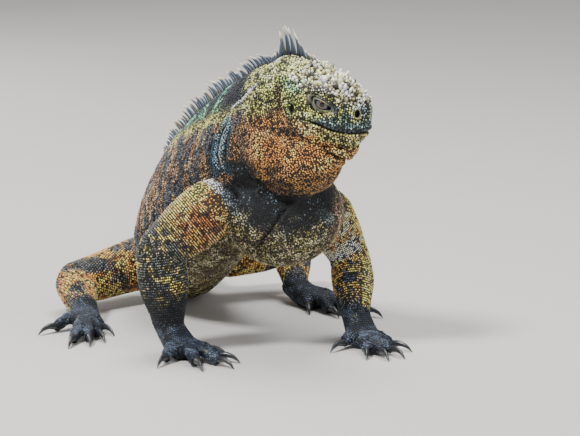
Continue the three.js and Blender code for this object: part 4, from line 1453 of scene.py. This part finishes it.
def gather_candidates(rng):
    """Every place a scale may take, in the order they are tried, and how close it may lie."""
    lays = np.array([by_start(LAY, name) for name in FORM_NAMES])
    skull = FORM_NAMES.index("skull")
    parts = []

    u, turn, wide = crown_places(rng).T
    spots = FORMS["skull"][0].ring(u, turn, -SKIN_DEPTH)
    x, _, z = to_head(spots).T
    tall = wide * (0.4 + 0.95 * rng.random(len(wide)) ** 1.5)
    tall = tall * (0.35 + 0.65 * crown_share(spots)) * ramp(-x, -54, -49)
    keep = (z > table(x, CROWN_EDGE)) & (tall > 0.4)
    rows = candidates(spots, skull, u, turn, wide, wide, tall, KINDS["knob"])
    parts.append((rows[keep], CROWD["knob"]))

    lips = lip_places()
    u = skull_place(to_head(lips[:, :3])[:, 0])
    rows = candidates(lips[:, :3], skull, u, 200, lips[:, 3], lips[:, 4], 0.8, KINDS["plate"])
    parts.append((rows, CROWD["lip"]))

    for i, name in enumerate(FORM_NAMES):
        u, turn = rows_on(name, rng).T
        spots = FORMS[name][0].ring(u, turn, -SKIN_DEPTH)
        along, round_, tall = lays[i]
        kind = "keeled" if name == "tail" else "plate" if name.startswith("toe_") else "granule"
        long = along * (0.76 if "arm" in name else 1.0)
        rows = candidates(spots, i, u, turn, long, round_, tall, KINDS[kind])
        parts.append((rows, CROWD["skull" if name == "skull" else "rows"]))

    points, faces = MODEL["points"], MODEL["faces"]
    a, b, c = (points[faces[:, k]] for k in range(3))
    area = np.linalg.norm(np.cross(b - a, c - a), axis=1)
    pick = rng.choice(len(faces), int(area.sum() / 2 / BETWEEN_AREA), p=area / area.sum())
    s, t = rng.random((2, len(pick)))
    flip = s + t > 1
    s, t = np.where(flip, 1 - s, s), np.where(flip, 1 - t, t)
    spots = a[pick] + (b[pick] - a[pick]) * s[:, None] + (c[pick] - a[pick]) * t[:, None]
    ids, u, turn = (column[faces[pick, 0]] for column in MODEL["label"])
    long, wide = (lays[ids][:, :2] * rng.uniform(0.8, 1.0, (len(ids), 1))).T
    rows = candidates(spots, ids, u, turn, long, wide, lays[ids][:, 2] * 0.9, KINDS["granule"])
    parts.append((rows, CROWD["between"]))
    crowd = np.concatenate([np.full(len(rows), share) for rows, share in parts])
    return np.vstack([rows for rows, _ in parts]), crowd


def lay_scales(rng):
    """Finds a place on the skin for every scale, big ones first, then rows, then what is left."""
    tree, faces = MODEL["tree"], MODEL["faces"]
    rows, crowd = gather_candidates(rng)
    spots = np.empty((len(rows), 3))
    normals = np.empty((len(rows), 3))
    face_ids = np.empty(len(rows), int)
    gaps = np.empty(len(rows))
    for i, spot in enumerate(rows[:, :3]):
        spots[i], normals[i], face_ids[i], gaps[i] = tree.find_nearest(spot)
    order = np.where((gaps < STRAY) & (spots[:, 2] > LOWEST_SCALE) & ~bare_places(spots))[0]
    size = rows[:, 6:8].mean(1)
    keys = np.floor(spots / CELL).astype(int)
    around = [(i, j, k) for i in (-1, 0, 1) for j in (-1, 0, 1) for k in (-1, 0, 1)]
    grid = {}
    chosen = []
    for i in order:
        x, y, z = spots[i]
        kx, ky, kz = keys[i]
        own, share = size[i], crowd[i] * 0.5
        crowded = False
        for dx, dy, dz in around:
            for ox, oy, oz, other in grid.get((kx + dx, ky + dy, kz + dz), ()):
                need = share * (own + other)
                if (x - ox) ** 2 + (y - oy) ** 2 + (z - oz) ** 2 < need * need:
                    crowded = True
                    break
            if crowded:
                break
        if not crowded:
            grid.setdefault((kx, ky, kz), []).append((x, y, z, own))
            chosen.append(i)
    chosen = np.array(chosen)
    rows = rows[chosen]
    form, u, turn = rows[:, 3].astype(int), rows[:, 4], rows[:, 5]
    vertex = faces[face_ids[chosen], 0]
    normal = unit(MODEL["normals"][vertex] * 0.7 + normals[chosen] * 0.3)
    lie = np.empty((len(rows), 3))
    for i, name in enumerate(FORM_NAMES):
        mine = form == i
        shape, _, rearward = FORMS[name]
        if mine.any():
            lie[mine] = shape.frame(np.clip(u[mine], 0, shape.last))[0] * rearward
    lie = unit(lie - normal * (lie * normal).sum(1, keepdims=True))
    return {
        "place": spots[chosen],
        "normal": normal,
        "lie": lie,
        "form": form,
        "u": u,
        "turn": turn,
        "long": rows[:, 6],
        "wide": rows[:, 7],
        "tall": rows[:, 8],
        "kind": rows[:, 9].astype(int),
        "weights": MODEL["weights"][vertex],
    }


# How strongly the scales of a region differ in brightness, and the share of dark ones.
CONTRAST = {
    "trunk": (0.5, 0.34),
    "breast": (0.45, 0.26),
    "skull": (0.4, 0.2),
    "throat": (0.4, 0.16),
    "tail": (0.4, 0.2),
    "upper_arm": (0.45, 0.26),
    "forearm": (0.5, 0.36),
    "thigh": (0.4, 0.24),
    "shin": (0.4, 0.28),
    "hand": (0.4, 0.1),
    "foot": (0.4, 0.1),
}

# How much lighter than the marking under them knobs and other scales are.
KNOB_GAIN = 1.3
SCALE_GAIN = 1.22


def scale_colours(laid, rng):
    """The colour of each scale: the marking under it, lighter or darker than its neighbours."""
    place = laid["place"]
    colour = markings(place, laid["weights"], laid["u"], laid["turn"])
    spread = np.zeros(len(place))
    dark_share = np.zeros(len(place))
    for k, name in enumerate(REGIONS):
        contrast, dark_ones = by_start(CONTRAST, name)
        spread += laid["weights"][:, k] * contrast
        dark_share += laid["weights"][:, k] * dark_ones
    knob = laid["kind"] == KINDS["knob"]
    colour = shade(colour, "lime", knob * 0.45)
    hollow = noise(place, 2.8, 94)
    # Painted shade: blotches of knobs darkened to umber, standing for the recesses in the crown.
    colour = shade(colour, "umber", knob * ramp(hollow, 0.68, 0.76) * 0.7)
    colour = shade(colour, "grey_blue", knob * ramp(-hollow, -0.3, -0.22) * 0.4)
    head = laid["weights"][:, REGIONS.index("skull")]
    gain = np.where(knob, KNOB_GAIN, SCALE_GAIN * (1 + 0.12 * head))
    covered = np.max([mark_cover(place, mark) for mark in MARKS], axis=0)
    bright = gain * (1 + spread * (1 - 0.6 * covered) * (rng.random(len(place)) * 1.5 - 0.7))
    patchy = 0.3 * noise(place, 3.0, 91) + 0.7 * rng.random(len(place))
    dark = ramp(-patchy, -(0.12 + dark_share * 0.85), -(0.04 + dark_share * 0.8))
    bright = bright * (1 - 0.72 * dark * (1 - 0.85 * covered))
    patch = ramp(noise(place, 8, 92), 0.42, 0.7)
    trunk = [k for k, name in enumerate(REGIONS) if name in ("trunk", "breast")]
    chest = chest_shadow(place) * laid["weights"][:, trunk].sum(1)
    # Painted highlights: grey-blue glints on random chest scales, gathered in patches.
    sparkle = (rng.random(len(place)) < 0.2 + 0.34 * patch) * chest * (0.3 + 0.7 * patch)
    sparkle = sparkle * rng.random(len(place))
    colour = shade(colour, "grey_blue", sparkle * 0.7)
    # Painted shade: the chest's scales are darkened further, all but the painted highlights.
    bright = bright * (1 - 0.5 * chest * (1 - sparkle))
    # Painted shade: granules between the knobs on the front of the crown are darkened to umber.
    between = crown_share(place) * (laid["kind"] == KINDS["granule"]) * ramp(to_head(place)[:, 0], 4, 16)
    colour = shade(colour, "umber", between * ramp(rng.random(len(place)), 0.3, 0.7) * 0.6)
    return np.clip(colour * bright[:, None], 0.012, 1)


# Each piece of scales: its name, its slot, and the test for its scales' form and place along it.
PIECES = [
    ("scales_head", "head_skin", lambda n, u: n == "skull"),
    ("scales_throat", "throat_skin", lambda n, u: n == "throat"),
    ("scales_shoulders_and_neck", "neck_skin", lambda n, u: (n == "trunk") & (u >= 4.4)),
    ("scales_ribs", "body_skin", lambda n, u: (n == "trunk") & (u >= 2.9) & (u < 4.4)),
    ("scales_loin", "body_skin", lambda n, u: (n == "trunk") & (u < 2.9)),
    ("scales_breast", "body_skin", lambda n, u: n == "breast"),
    ("scales_tail", "tail_skin", lambda n, u: n == "tail"),
]
for side in ("right", "left"):
    for limb, (upper, lower, hand) in LIMB_PARTS.items():
        pair = (f"{upper}_{side}", f"{lower}_{side}")
        PIECES.append((f"scales_{limb}_{side}", "limb_skin", lambda n, u, pair=pair: np.isin(n, pair)))
        end = f"{hand}_{side}"
        PIECES.append((f"scales_{end}", "hand_skin", lambda n, u, end=end: np.char.find(n, end) >= 0))


def pit_shaded(colour, size, rng):
    """Knob colours, with painted shade in a dark pit on top of many of the knobs."""
    sides = KNOB[2]
    count = len(colour) // size
    deep = rng.random(count) < 0.6
    pit = np.zeros((count, size))
    pit[:, -1] = 0.7 * deep
    pit[:, -1 - sides : -1] = 0.2 * deep[:, None]
    ink = np.where((rng.random(count) < 0.5)[:, None], INK["umber"], INK["lip_dark"])
    return shade(colour, np.repeat(ink, size, 0), pit.ravel())


def scale_pieces(laid, colour, rng):
    """One joined mesh of scales for each stretch of skin."""
    names = np.array(FORM_NAMES)[laid["form"]]
    made = []
    for title, slot, test in PIECES:
        mine = test(names, laid["u"])
        parts, start = [], 0
        for kind, (outline, spread, rough) in enumerate(OUTLINES):
            ids = np.where(mine & (laid["kind"] == kind))[0]
            if len(ids) == 0:
                continue
            own = {key: column[ids] for key, column in laid.items()}
            vary = rng.uniform(0.9, 1.1, (3, len(ids)))
            p, f, rise, size = scale_mesh(
                outline,
                own["place"],
                own["normal"],
                own["lie"],
                own["long"] * spread * vary[0],
                own["wide"] * spread * vary[1],
                own["tall"] * vary[2],
                rng,
                rough,
            )
            tint = np.repeat(colour[ids], size, 0)
            if kind == KINDS["knob"]:
                tint, rise = pit_shaded(tint, size, rng), 0.08 + 0.92 * rise
            own = {key: np.repeat(column, size, 0) for key, column in own.items() if key != "weights"}
            offset, lie = p - own["place"], own["lie"]
            across = np.cross(own["normal"], lie)
            flat = np.stack([(offset * lie).sum(1), (offset * across).sum(1)], 1)
            flat /= (own["wide"] * 1.3)[:, None]
            patch = atlas(own["form"], own["u"], own["turn"]) + PATCH_HALF * np.clip(flat, -1, 1)
            parts.append((p, f + start, tint_rows(tint, rise), patch))
            start += len(p)
        if parts:
            made.append((mesh_object(title, *(np.vstack(rows) for rows in zip(*parts))), slot))
    return made


# Crest.


def trunk_height(u):
    back = 7 + 10 * math.exp(-(((u - 4.5) / 1.4) ** 2))
    scallop = 0.76 + 0.24 * abs(math.sin(math.pi * (u - 0.15) * 1.9))
    return back * scallop + 5 * math.exp(-(((u - 6.0) / 0.5) ** 2))


def nape_height(u):
    return 7 + 17 * math.exp(-(((u - 1.3) / 0.95) ** 6))


def tail_height(u):
    return 1.6 + 4.6 * max(1 - u / 10, 0) ** 0.8


# Each run of the crest: its form, its ends, the spacing of its spines, their height and its slot.
CREST = {
    "crest_nape": ("skull", 0.05, 3.25, 2.6, nape_height, "head_skin"),
    "crest_neck": ("trunk", 5.38, 6.66, 3.2, trunk_height, "neck_skin"),
    "crest_back": ("trunk", 0.5, 5.34, 3.1, trunk_height, "body_skin"),
    "crest_tail": ("tail", 0.4, 9.8, 4.6, tail_height, "tail_skin"),
}


def spine_blade(foot, along, lean, left, tall, long, hook, rng):
    """A curved, flattened spine: rings of eight points from the sunk root to the tip."""
    levels, sides = 10, 8
    thick = min(2.5, 1.1 + tall * 0.07)
    sway = tall * rng.uniform(-0.08, 0.08)
    turns = 2 * math.pi * np.arange(sides) / sides
    points, rise = [], []
    for level in range(levels):
        s = level / (levels - 0.4)
        width = long * (1 - 0.45 * s - 0.35 * s**6)
        depth = thick * (1 - 0.58 * s)
        centre = foot + lean * (tall * (s * (1.04 - 0.1 * s) - 0.14)) - along * (hook * s**1.9)
        centre = centre + left * (sway * s * s)
        ring = along * (np.cos(turns) * width / 2)[:, None] + left * (np.sin(turns) * depth / 2)[:, None]
        points.append(centre + ring)
        rise += [s] * sides
    tip = foot + lean * tall * 0.83 - along * hook * 1.08 + left * sway
    root = foot - lean * tall * 0.2
    points = np.vstack(points + [root, tip])
    return points, tube_faces(levels, sides), np.array(rise + [0.0, 1.0])


def spine_colours(rise, tail, rng):
    """Dark flats, pale front and rear edges, and a cream or gold tip."""
    colour = shade("black", "spine", ramp(rise, 0.05, 0.35))
    edges = np.abs(np.cos(np.arange(len(rise)) % 8 * math.pi / 4)) ** 3
    pale = "gold" if rng.random() < 0.2 else "spine_pale"
    colour = shade(colour, pale, ramp(rise, 0.08, 0.5) * edges * (0.25 if tail else 0.8))
    if rng.random() < 0.3:
        colour = shade(colour, "moss", bump_at(rise, 0.3, 0.25) * (1 - edges) * 0.5)
    tip = "gold" if rng.random() < 0.25 else "cream"
    colour = shade(colour, tip, ramp(rise, 0.68, 0.9) * (0.3 if tail else 0.95))
    return colour * rng.uniform(0.8, 1.15)


def crest_run(name, rng):
    form_name, start, end, step, height, _ = CREST[name]
    form = FORMS[form_name][0]
    form_id = np.array([FORM_NAMES.index(form_name)])
    top = np.array([90.0])
    ridge = lambda u: form.ring(u, top, -SKIN_DEPTH)[0]
    parts, count = [], 0
    u = start
    while u < end:
        at = np.array([u])
        along, left, above, *_ = (value[0] for value in form.frame(at))
        foot = ridge(at) + left * rng.uniform(-0.5, 0.5)
        tall = height(u) * rng.uniform(0.88, 1.12) * (0.75 if rng.random() < 0.1 else 1)
        share = 0.05 + 0.45 * (u - start) / (end - start) if form_name == "skull" else 0.44
        hook = tall * share * rng.uniform(0.85, 1.2)
        lean = unit(unit(above + UP * 0.25) + along * rng.uniform(-0.13, 0.13))
        p, f, rise = spine_blade(foot, along, lean, left, tall, step * 1.06, hook, rng)
        tint = tint_rows(spine_colours(rise, form_name == "tail", rng), 0.4 + 0.6 * rise)
        flat = np.stack([(p - foot) @ along, (p - foot) @ lean], 1) / max(tall, 1)
        parts.append((p, f + count, tint, atlas(form_id, at, top) + PATCH_HALF * np.clip(flat, -1, 1)))
        count += len(p)
        span = np.linalg.norm(ridge(at + 0.02) - ridge(at)) / 0.02
        u += step * rng.uniform(0.85, 1.15) / span
    return mesh_object(name, *(np.vstack(rows) for rows in zip(*parts)))


# Finishes.


def finish(name, rough, grain, shades=(1.0, 1.0), bump=0.2, shine=0.5, coat=0.0):
    """A horn or skin finish: the tint with painted shade low down and painted light on top, set by each
    point's height share, with fine grain and gloss.
    """
    material = bpy.data.materials.new(name)
    material.use_nodes = True
    nodes, links = material.node_tree.nodes, material.node_tree.links
    shader = nodes["Principled BSDF"]
    shader.inputs["Specular IOR Level"].default_value = shine
    shader.inputs["Coat Weight"].default_value = coat
    shader.inputs["Coat Roughness"].default_value = 0.12
    tint = nodes.new("ShaderNodeAttribute")
    tint.attribute_name = "tint"
    place = nodes.new("ShaderNodeTexCoord")
    fine = nodes.new("ShaderNodeTexNoise")
    fine.inputs["Scale"].default_value = grain
    fine.inputs["Detail"].default_value = 3
    links.new(place.outputs["Object"], fine.inputs["Vector"])
    mottle = nodes.new("ShaderNodeMapRange")
    mottle.inputs["From Min"].default_value = 0.3
    mottle.inputs["From Max"].default_value = 0.7
    mottle.inputs["To Min"].default_value = 0.82
    mottle.inputs["To Max"].default_value = 1.14
    links.new(fine.outputs["Fac"], mottle.inputs["Value"])
    # Painted shade and light: the tint is scaled from the low to the high shade by the height share.
    depth = nodes.new("ShaderNodeMapRange")
    depth.inputs["From Min"].default_value = 0.2
    depth.inputs["To Min"].default_value, depth.inputs["To Max"].default_value = shades
    links.new(tint.outputs["Alpha"], depth.inputs["Value"])
    both = nodes.new("ShaderNodeMath")
    both.operation = "MULTIPLY"
    links.new(mottle.outputs["Result"], both.inputs[0])
    links.new(depth.outputs["Result"], both.inputs[1])
    colour = nodes.new("ShaderNodeVectorMath")
    colour.operation = "SCALE"
    links.new(tint.outputs["Color"], colour.inputs[0])
    links.new(both.outputs["Value"], colour.inputs["Scale"])
    links.new(colour.outputs["Vector"], shader.inputs["Base Color"])
    gloss = nodes.new("ShaderNodeMapRange")
    gloss.inputs["To Min"].default_value = rough[0]
    gloss.inputs["To Max"].default_value = rough[1]
    links.new(fine.outputs["Fac"], gloss.inputs["Value"])
    links.new(gloss.outputs["Result"], shader.inputs["Roughness"])
    raised = nodes.new("ShaderNodeBump")
    raised.inputs["Strength"].default_value = bump
    raised.inputs["Distance"].default_value = 0.0002
    links.new(fine.outputs["Fac"], raised.inputs["Height"])
    links.new(raised.outputs["Normal"], shader.inputs["Normal"])
    return material


def wear(obj, material):
    obj.data.materials.clear()
    obj.data.materials.append(material)
    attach(obj, "root")


FLESH = [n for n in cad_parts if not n.startswith(("eye_", "claw_"))]


# Settings and operators.


class SkinSizes(bpy.types.PropertyGroup):
    """Sizes of the skin and its scales."""

    voxel: bpy.props.FloatProperty(
        name="Skin mesh size",
        description="Size of the cells that join the body's forms, in millimetres",
        default=1.25,
        min=0.8,
        max=4,
    )
    seed: bpy.props.IntProperty(
        name="Scale seed", description="Starts the scales' small differences", default=7
    )


class ScaleShadeAndClaws(bpy.types.PropertyGroup):
    """Painted shade between the scales and at their feet, and the claws' colour."""

    gap_shade: bpy.props.FloatProperty(
        name="Gap shade",
        description="How light the skin between the scales is, next to the marking",
        default=0.26,
        min=0,
        max=1,
        subtype="FACTOR",
    )
    groove_shade: bpy.props.FloatProperty(
        name="Groove shade",
        description="How light the foot of each scale is, next to its top",
        default=0.22,
        min=0,
        max=1,
        subtype="FACTOR",
    )
    claw_colour: bpy.props.FloatVectorProperty(
        name="Claw colour",
        description="Colour of the claws",
        default=(0.02, 0.023, 0.028),
        size=3,
        min=0,
        max=1,
        subtype="COLOR",
    )


class StageSettings(bpy.types.PropertyGroup):
    """The floor's colour and the camera's distance."""

    floor_colour: bpy.props.FloatVectorProperty(
        name="Floor colour",
        description="Colour of the plain floor",
        default=(0.62, 0.6, 0.57),
        size=3,
        min=0,
        max=1,
        subtype="COLOR",
    )
    camera_distance: bpy.props.FloatProperty(
        name="Camera distance",
        description="How far the camera stands from the animal",
        default=3.0,
        min=1,
        unit="LENGTH",
    )


class IGUANA_OT_skin(bpy.types.Operator):
    """Build the one skin under the scales"""

    bl_idname = "iguana.skin"
    bl_label = "Skin"

    def execute(self, context):
        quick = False
        voxel = 2.0 if quick else context.scene.iguana_sizes.voxel
        points, faces, label = build_skin(voxel, quick)
        MODEL.update(points=points, faces=faces, label=label)
        MODEL["normals"] = normals_of(points, faces)
        weights = np.zeros((len(points), len(REGIONS)))
        weights[np.arange(len(points)), REGION_OF_FORM[label[0]]] = 1
        edges = edges_of(faces)
        for _ in range(10):
            weights = 0.5 * weights + 0.5 * average(weights, edges)
        MODEL["weights"] = weights
        MODEL["tree"] = BVHTree.FromPolygons(points.tolist(), faces.tolist())
        open_skin = bare_places(points).astype(float)
        for _ in range(3):
            open_skin = average(open_skin, edges)
        gap_shade = context.scene.iguana_finish.gap_shade
        # Painted shade: the skin between the scales is darkened, less so where no scales cover it.
        light = gap_shade + (0.95 - gap_shade) * open_skin
        colour = markings(points, weights, label[1], label[2]) * light[:, None]
        skin = mesh_object("iguana_skin", points, faces, tint_rows(colour, np.ones(len(points))))
        wear(skin, finish("hide", (0.5, 0.75), 700, bump=0.3, shine=0.3))
        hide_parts(*FLESH)
        return {"FINISHED"}


class IGUANA_OT_scales(bpy.types.Operator):
    """Lay the scales over the skin, in rows that follow the body"""

    bl_idname = "iguana.scales"
    bl_label = "Scales"

    def execute(self, context):
        rng = np.random.default_rng(context.scene.iguana_sizes.seed)
        laid = lay_scales(rng)
        colour = scale_colours(laid, rng)
        # Painted shade at the foot of each scale and painted light on its top.
        shades = (context.scene.iguana_finish.groove_shade, 1.3)
        material = finish("scales", (0.36, 0.6), 1600, shades, 0.15, shine=0.36)
        for piece, slot in scale_pieces(laid, colour, rng):
            wear(piece, material)
        return {"FINISHED"}


class IGUANA_OT_crest(bpy.types.Operator):
    """Set the spines of the crest from the nape to the tail"""

    bl_idname = "iguana.crest"
    bl_label = "Crest"

    def execute(self, context):
        rng = np.random.default_rng(context.scene.iguana_sizes.seed + 1)
        # Painted shade towards the root of each spine and painted light near its tip.
        material = finish("crest_horn", (0.32, 0.55), 900, (0.45, 1.1), 0.2)
        for name, run in CREST.items():
            wear(crest_run(name, rng), material)
        return {"FINISHED"}


class IGUANA_OT_eyes(bpy.types.Operator):
    """Make the eyeballs, with pupil and iris"""

    bl_idname = "iguana.eyes"
    bl_label = "Eyes"

    def execute(self, context):
        material = finish("eye_gloss", (0.08, 0.14), 500, bump=0.0, shine=0.4, coat=0.25)
        for name, hand in (("left", 1), ("right", -1)):
            centre = in_head(EYE_PLACE[0], hand * EYE_PLACE[1], EYE_PLACE[2])
            fore, above, out = eye_axes(hand)
            gaze = unit(out + fore * 0.46 + above * 0.02)
            fore = unit(fore - gaze * (fore @ gaze))
            axes = np.array([fore, np.cross(gaze, fore), gaze])
            points, faces = ball((0, 0, 0), (1, 1, 1), np.eye(3), 120)
            away = np.degrees(np.arccos(np.clip(points[:, 2], -1, 1)))
            round_at = np.degrees(np.arctan2(points[:, 1], points[:, 0]))
            spokes = noise(np.stack([round_at / 4, away / 16, away * 0], 1), 1.0, 5)
            colour = np.array([0.13, 0.11, 0.1])
            for tone, cover in (
                ((0.46, 0.47, 0.52), ramp(-away, -46, -42) * (0.5 + 0.5 * spokes)),
                ((0.12, 0.12, 0.14), ramp(away, 31, 40) * 0.7),
                ((0.05, 0.045, 0.05), bump_at(away, 25, 2.6) * 0.7),
                ((0.5, 0.36, 0.26), bump_at(away, 20, 2.6) * 0.85),
                ((0.008, 0.007, 0.008), ramp(-away, -17.5, -15)),
            ):
                colour = shade(colour, np.array(tone), cover)
            lens = 1 + 0.05 * ramp(-away, -45, -25)
            placed = centre + (points * lens[:, None] * EYE_RADIUS * 0.985) @ axes
            eye = mesh_object("eyeball_" + name, placed, faces, tint_rows(colour, np.ones(len(points))))
            wear(eye, material)
            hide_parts("eye_" + name)
        return {"FINISHED"}


class IGUANA_OT_claws(bpy.types.Operator):
    """Make the curved claws of each hand and foot"""

    bl_idname = "iguana.claws"
    bl_label = "Claws"

    def execute(self, context):
        material = finish("claw_horn", (0.22, 0.4), 600, bump=0.1, shine=0.6)
        tone = np.array(context.scene.iguana_finish.claw_colour)
        for hand in ("hand_right", "hand_left", "foot_right", "foot_left"):
            shells, tints = [], []
            for i in range(5):
                claw = claw_form(FORMS[f"toe_{hand}_{i + 1}"][0])
                points, faces = claw.shell(domes=(0.6, 0.3), sides=20, step=0.5)
                shells.append((points, faces))
                away = np.linalg.norm(points - claw.points[0], axis=1) / CLAW_LENGTH
                pale = 0.8 * ramp(-away, -0.2, 0.0) + 0.2 * blots(points, (6, 6, 1.2), 4, 0.55, 0.7)
                pale = np.clip(pale, 0, 1)[:, None]
                tints.append(tone * (1 - pale) + np.array([0.12, 0.12, 0.1]) * pale)
            points, faces = joined(shells)
            tint = np.hstack([np.vstack(tints), np.ones((len(points), 1))])
            claws = mesh_object("claws_" + hand, points, faces, tint)
            wear(claws, material)
            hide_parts(*[f"claw_{hand}_{i + 1}" for i in range(5)])
        return {"FINISHED"}


class IGUANA_OT_stage(bpy.types.Operator):
    """Set the plain floor, the soft lights and the camera"""

    bl_idname = "iguana.stage"
    bl_label = "Stage"

    def execute(self, context):
        settings = context.scene.iguana_stage
        bpy.ops.mesh.primitive_plane_add(size=14)
        floor = context.object
        floor.name = "floor"
        material = bpy.data.materials.new("pale_floor")
        material.use_nodes = True
        shader = material.node_tree.nodes["Principled BSDF"]
        shader.inputs["Base Color"].default_value = (*settings.floor_colour, 1)
        shader.inputs["Roughness"].default_value = 0.8
        floor.data.materials.append(material)

        world = bpy.data.worlds.new("studio")
        world.use_nodes = True
        back = world.node_tree.nodes["Background"]
        back.inputs["Color"].default_value = (0.86, 0.88, 0.92, 1)
        back.inputs["Strength"].default_value = 0.36
        context.scene.world = world

        middle = (np.array([-40, 0, 90]) + SHIFT) * MM
        view, across = CAMERA_OUT, CAMERA_RIGHT
        for name, spot, power, size in (
            ("key_light", view * 1.1 - across * 0.9 + UP * 1.7, 70, 0.42),
            ("fill_light", view * 1.4 + across * 1.3 + UP * 0.7, 20, 1.2),
            ("top_light", -view * 0.5 + across * 0.1 + UP * 1.7, 24, 0.8),
            ("back_light", -view * 1.4 - across * 1.0 + UP * 0.7, 12, 0.8),
        ):
            lamp = bpy.data.lights.new(name, "AREA")
            lamp.energy, lamp.size = power, size
            obj = bpy.data.objects.new(name, lamp)
            obj.location = middle + spot
            obj.rotation_euler = Vector(-spot).to_track_quat("-Z", "Y").to_euler()
            context.scene.collection.objects.link(obj)

        lens = bpy.data.cameras.new("camera")
        lens.sensor_width, lens.sensor_fit, lens.lens = 36, "HORIZONTAL", FOCAL_LENGTH
        lens.clip_end = 50
        camera = bpy.data.objects.new("camera", lens)
        stand = SHIFT * MM + view * settings.camera_distance
        target = (SHIFT + PICTURE_MIDDLE[0] * across + PICTURE_MIDDLE[1] * CAMERA_UP) * MM
        camera.location = stand
        camera.rotation_euler = Vector(target - stand).to_track_quat("-Z", "Y").to_euler()
        context.scene.collection.objects.link(camera)
        context.scene.camera = camera
        return {"FINISHED"}


class IGUANA_PT_panel(bpy.types.Panel):
    """Pieces of the figure, in the order they are made"""

    bl_idname = "IGUANA_PT_panel"
    bl_label = "Marine iguana"
    bl_space_type = "VIEW_3D"
    bl_region_type = "UI"
    bl_category = "Iguana"

    def draw(self, context):
        for group in ("iguana_sizes", "iguana_finish", "iguana_stage"):
            settings = getattr(context.scene, group)
            for name in settings.__annotations__:
                self.layout.prop(settings, name)
        for operator in OPERATORS:
            self.layout.operator(operator.bl_idname)


GROUPS = {"iguana_sizes": SkinSizes, "iguana_finish": ScaleShadeAndClaws, "iguana_stage": StageSettings}
OPERATORS = (
    IGUANA_OT_skin,
    IGUANA_OT_scales,
    IGUANA_OT_crest,
    IGUANA_OT_eyes,
    IGUANA_OT_claws,
    IGUANA_OT_stage,
)


def register():
    for name, group in GROUPS.items():
        bpy.utils.register_class(group)
        setattr(bpy.types.Scene, name, bpy.props.PointerProperty(type=group))
    for cls in (*OPERATORS, IGUANA_PT_panel):
        bpy.utils.register_class(cls)


def unregister():
    for cls in reversed((*OPERATORS, IGUANA_PT_panel)):
        bpy.utils.unregister_class(cls)
    for name, group in GROUPS.items():
        delattr(bpy.types.Scene, name)
        bpy.utils.unregister_class(group)


def main():
    register()
    bpy.ops.iguana.stage()
    bpy.ops.iguana.skin()
    bpy.ops.iguana.scales()
    bpy.ops.iguana.crest()
    bpy.ops.iguana.eyes()
    bpy.ops.iguana.claws()
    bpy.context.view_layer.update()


if __name__ == "__main__":
    main()
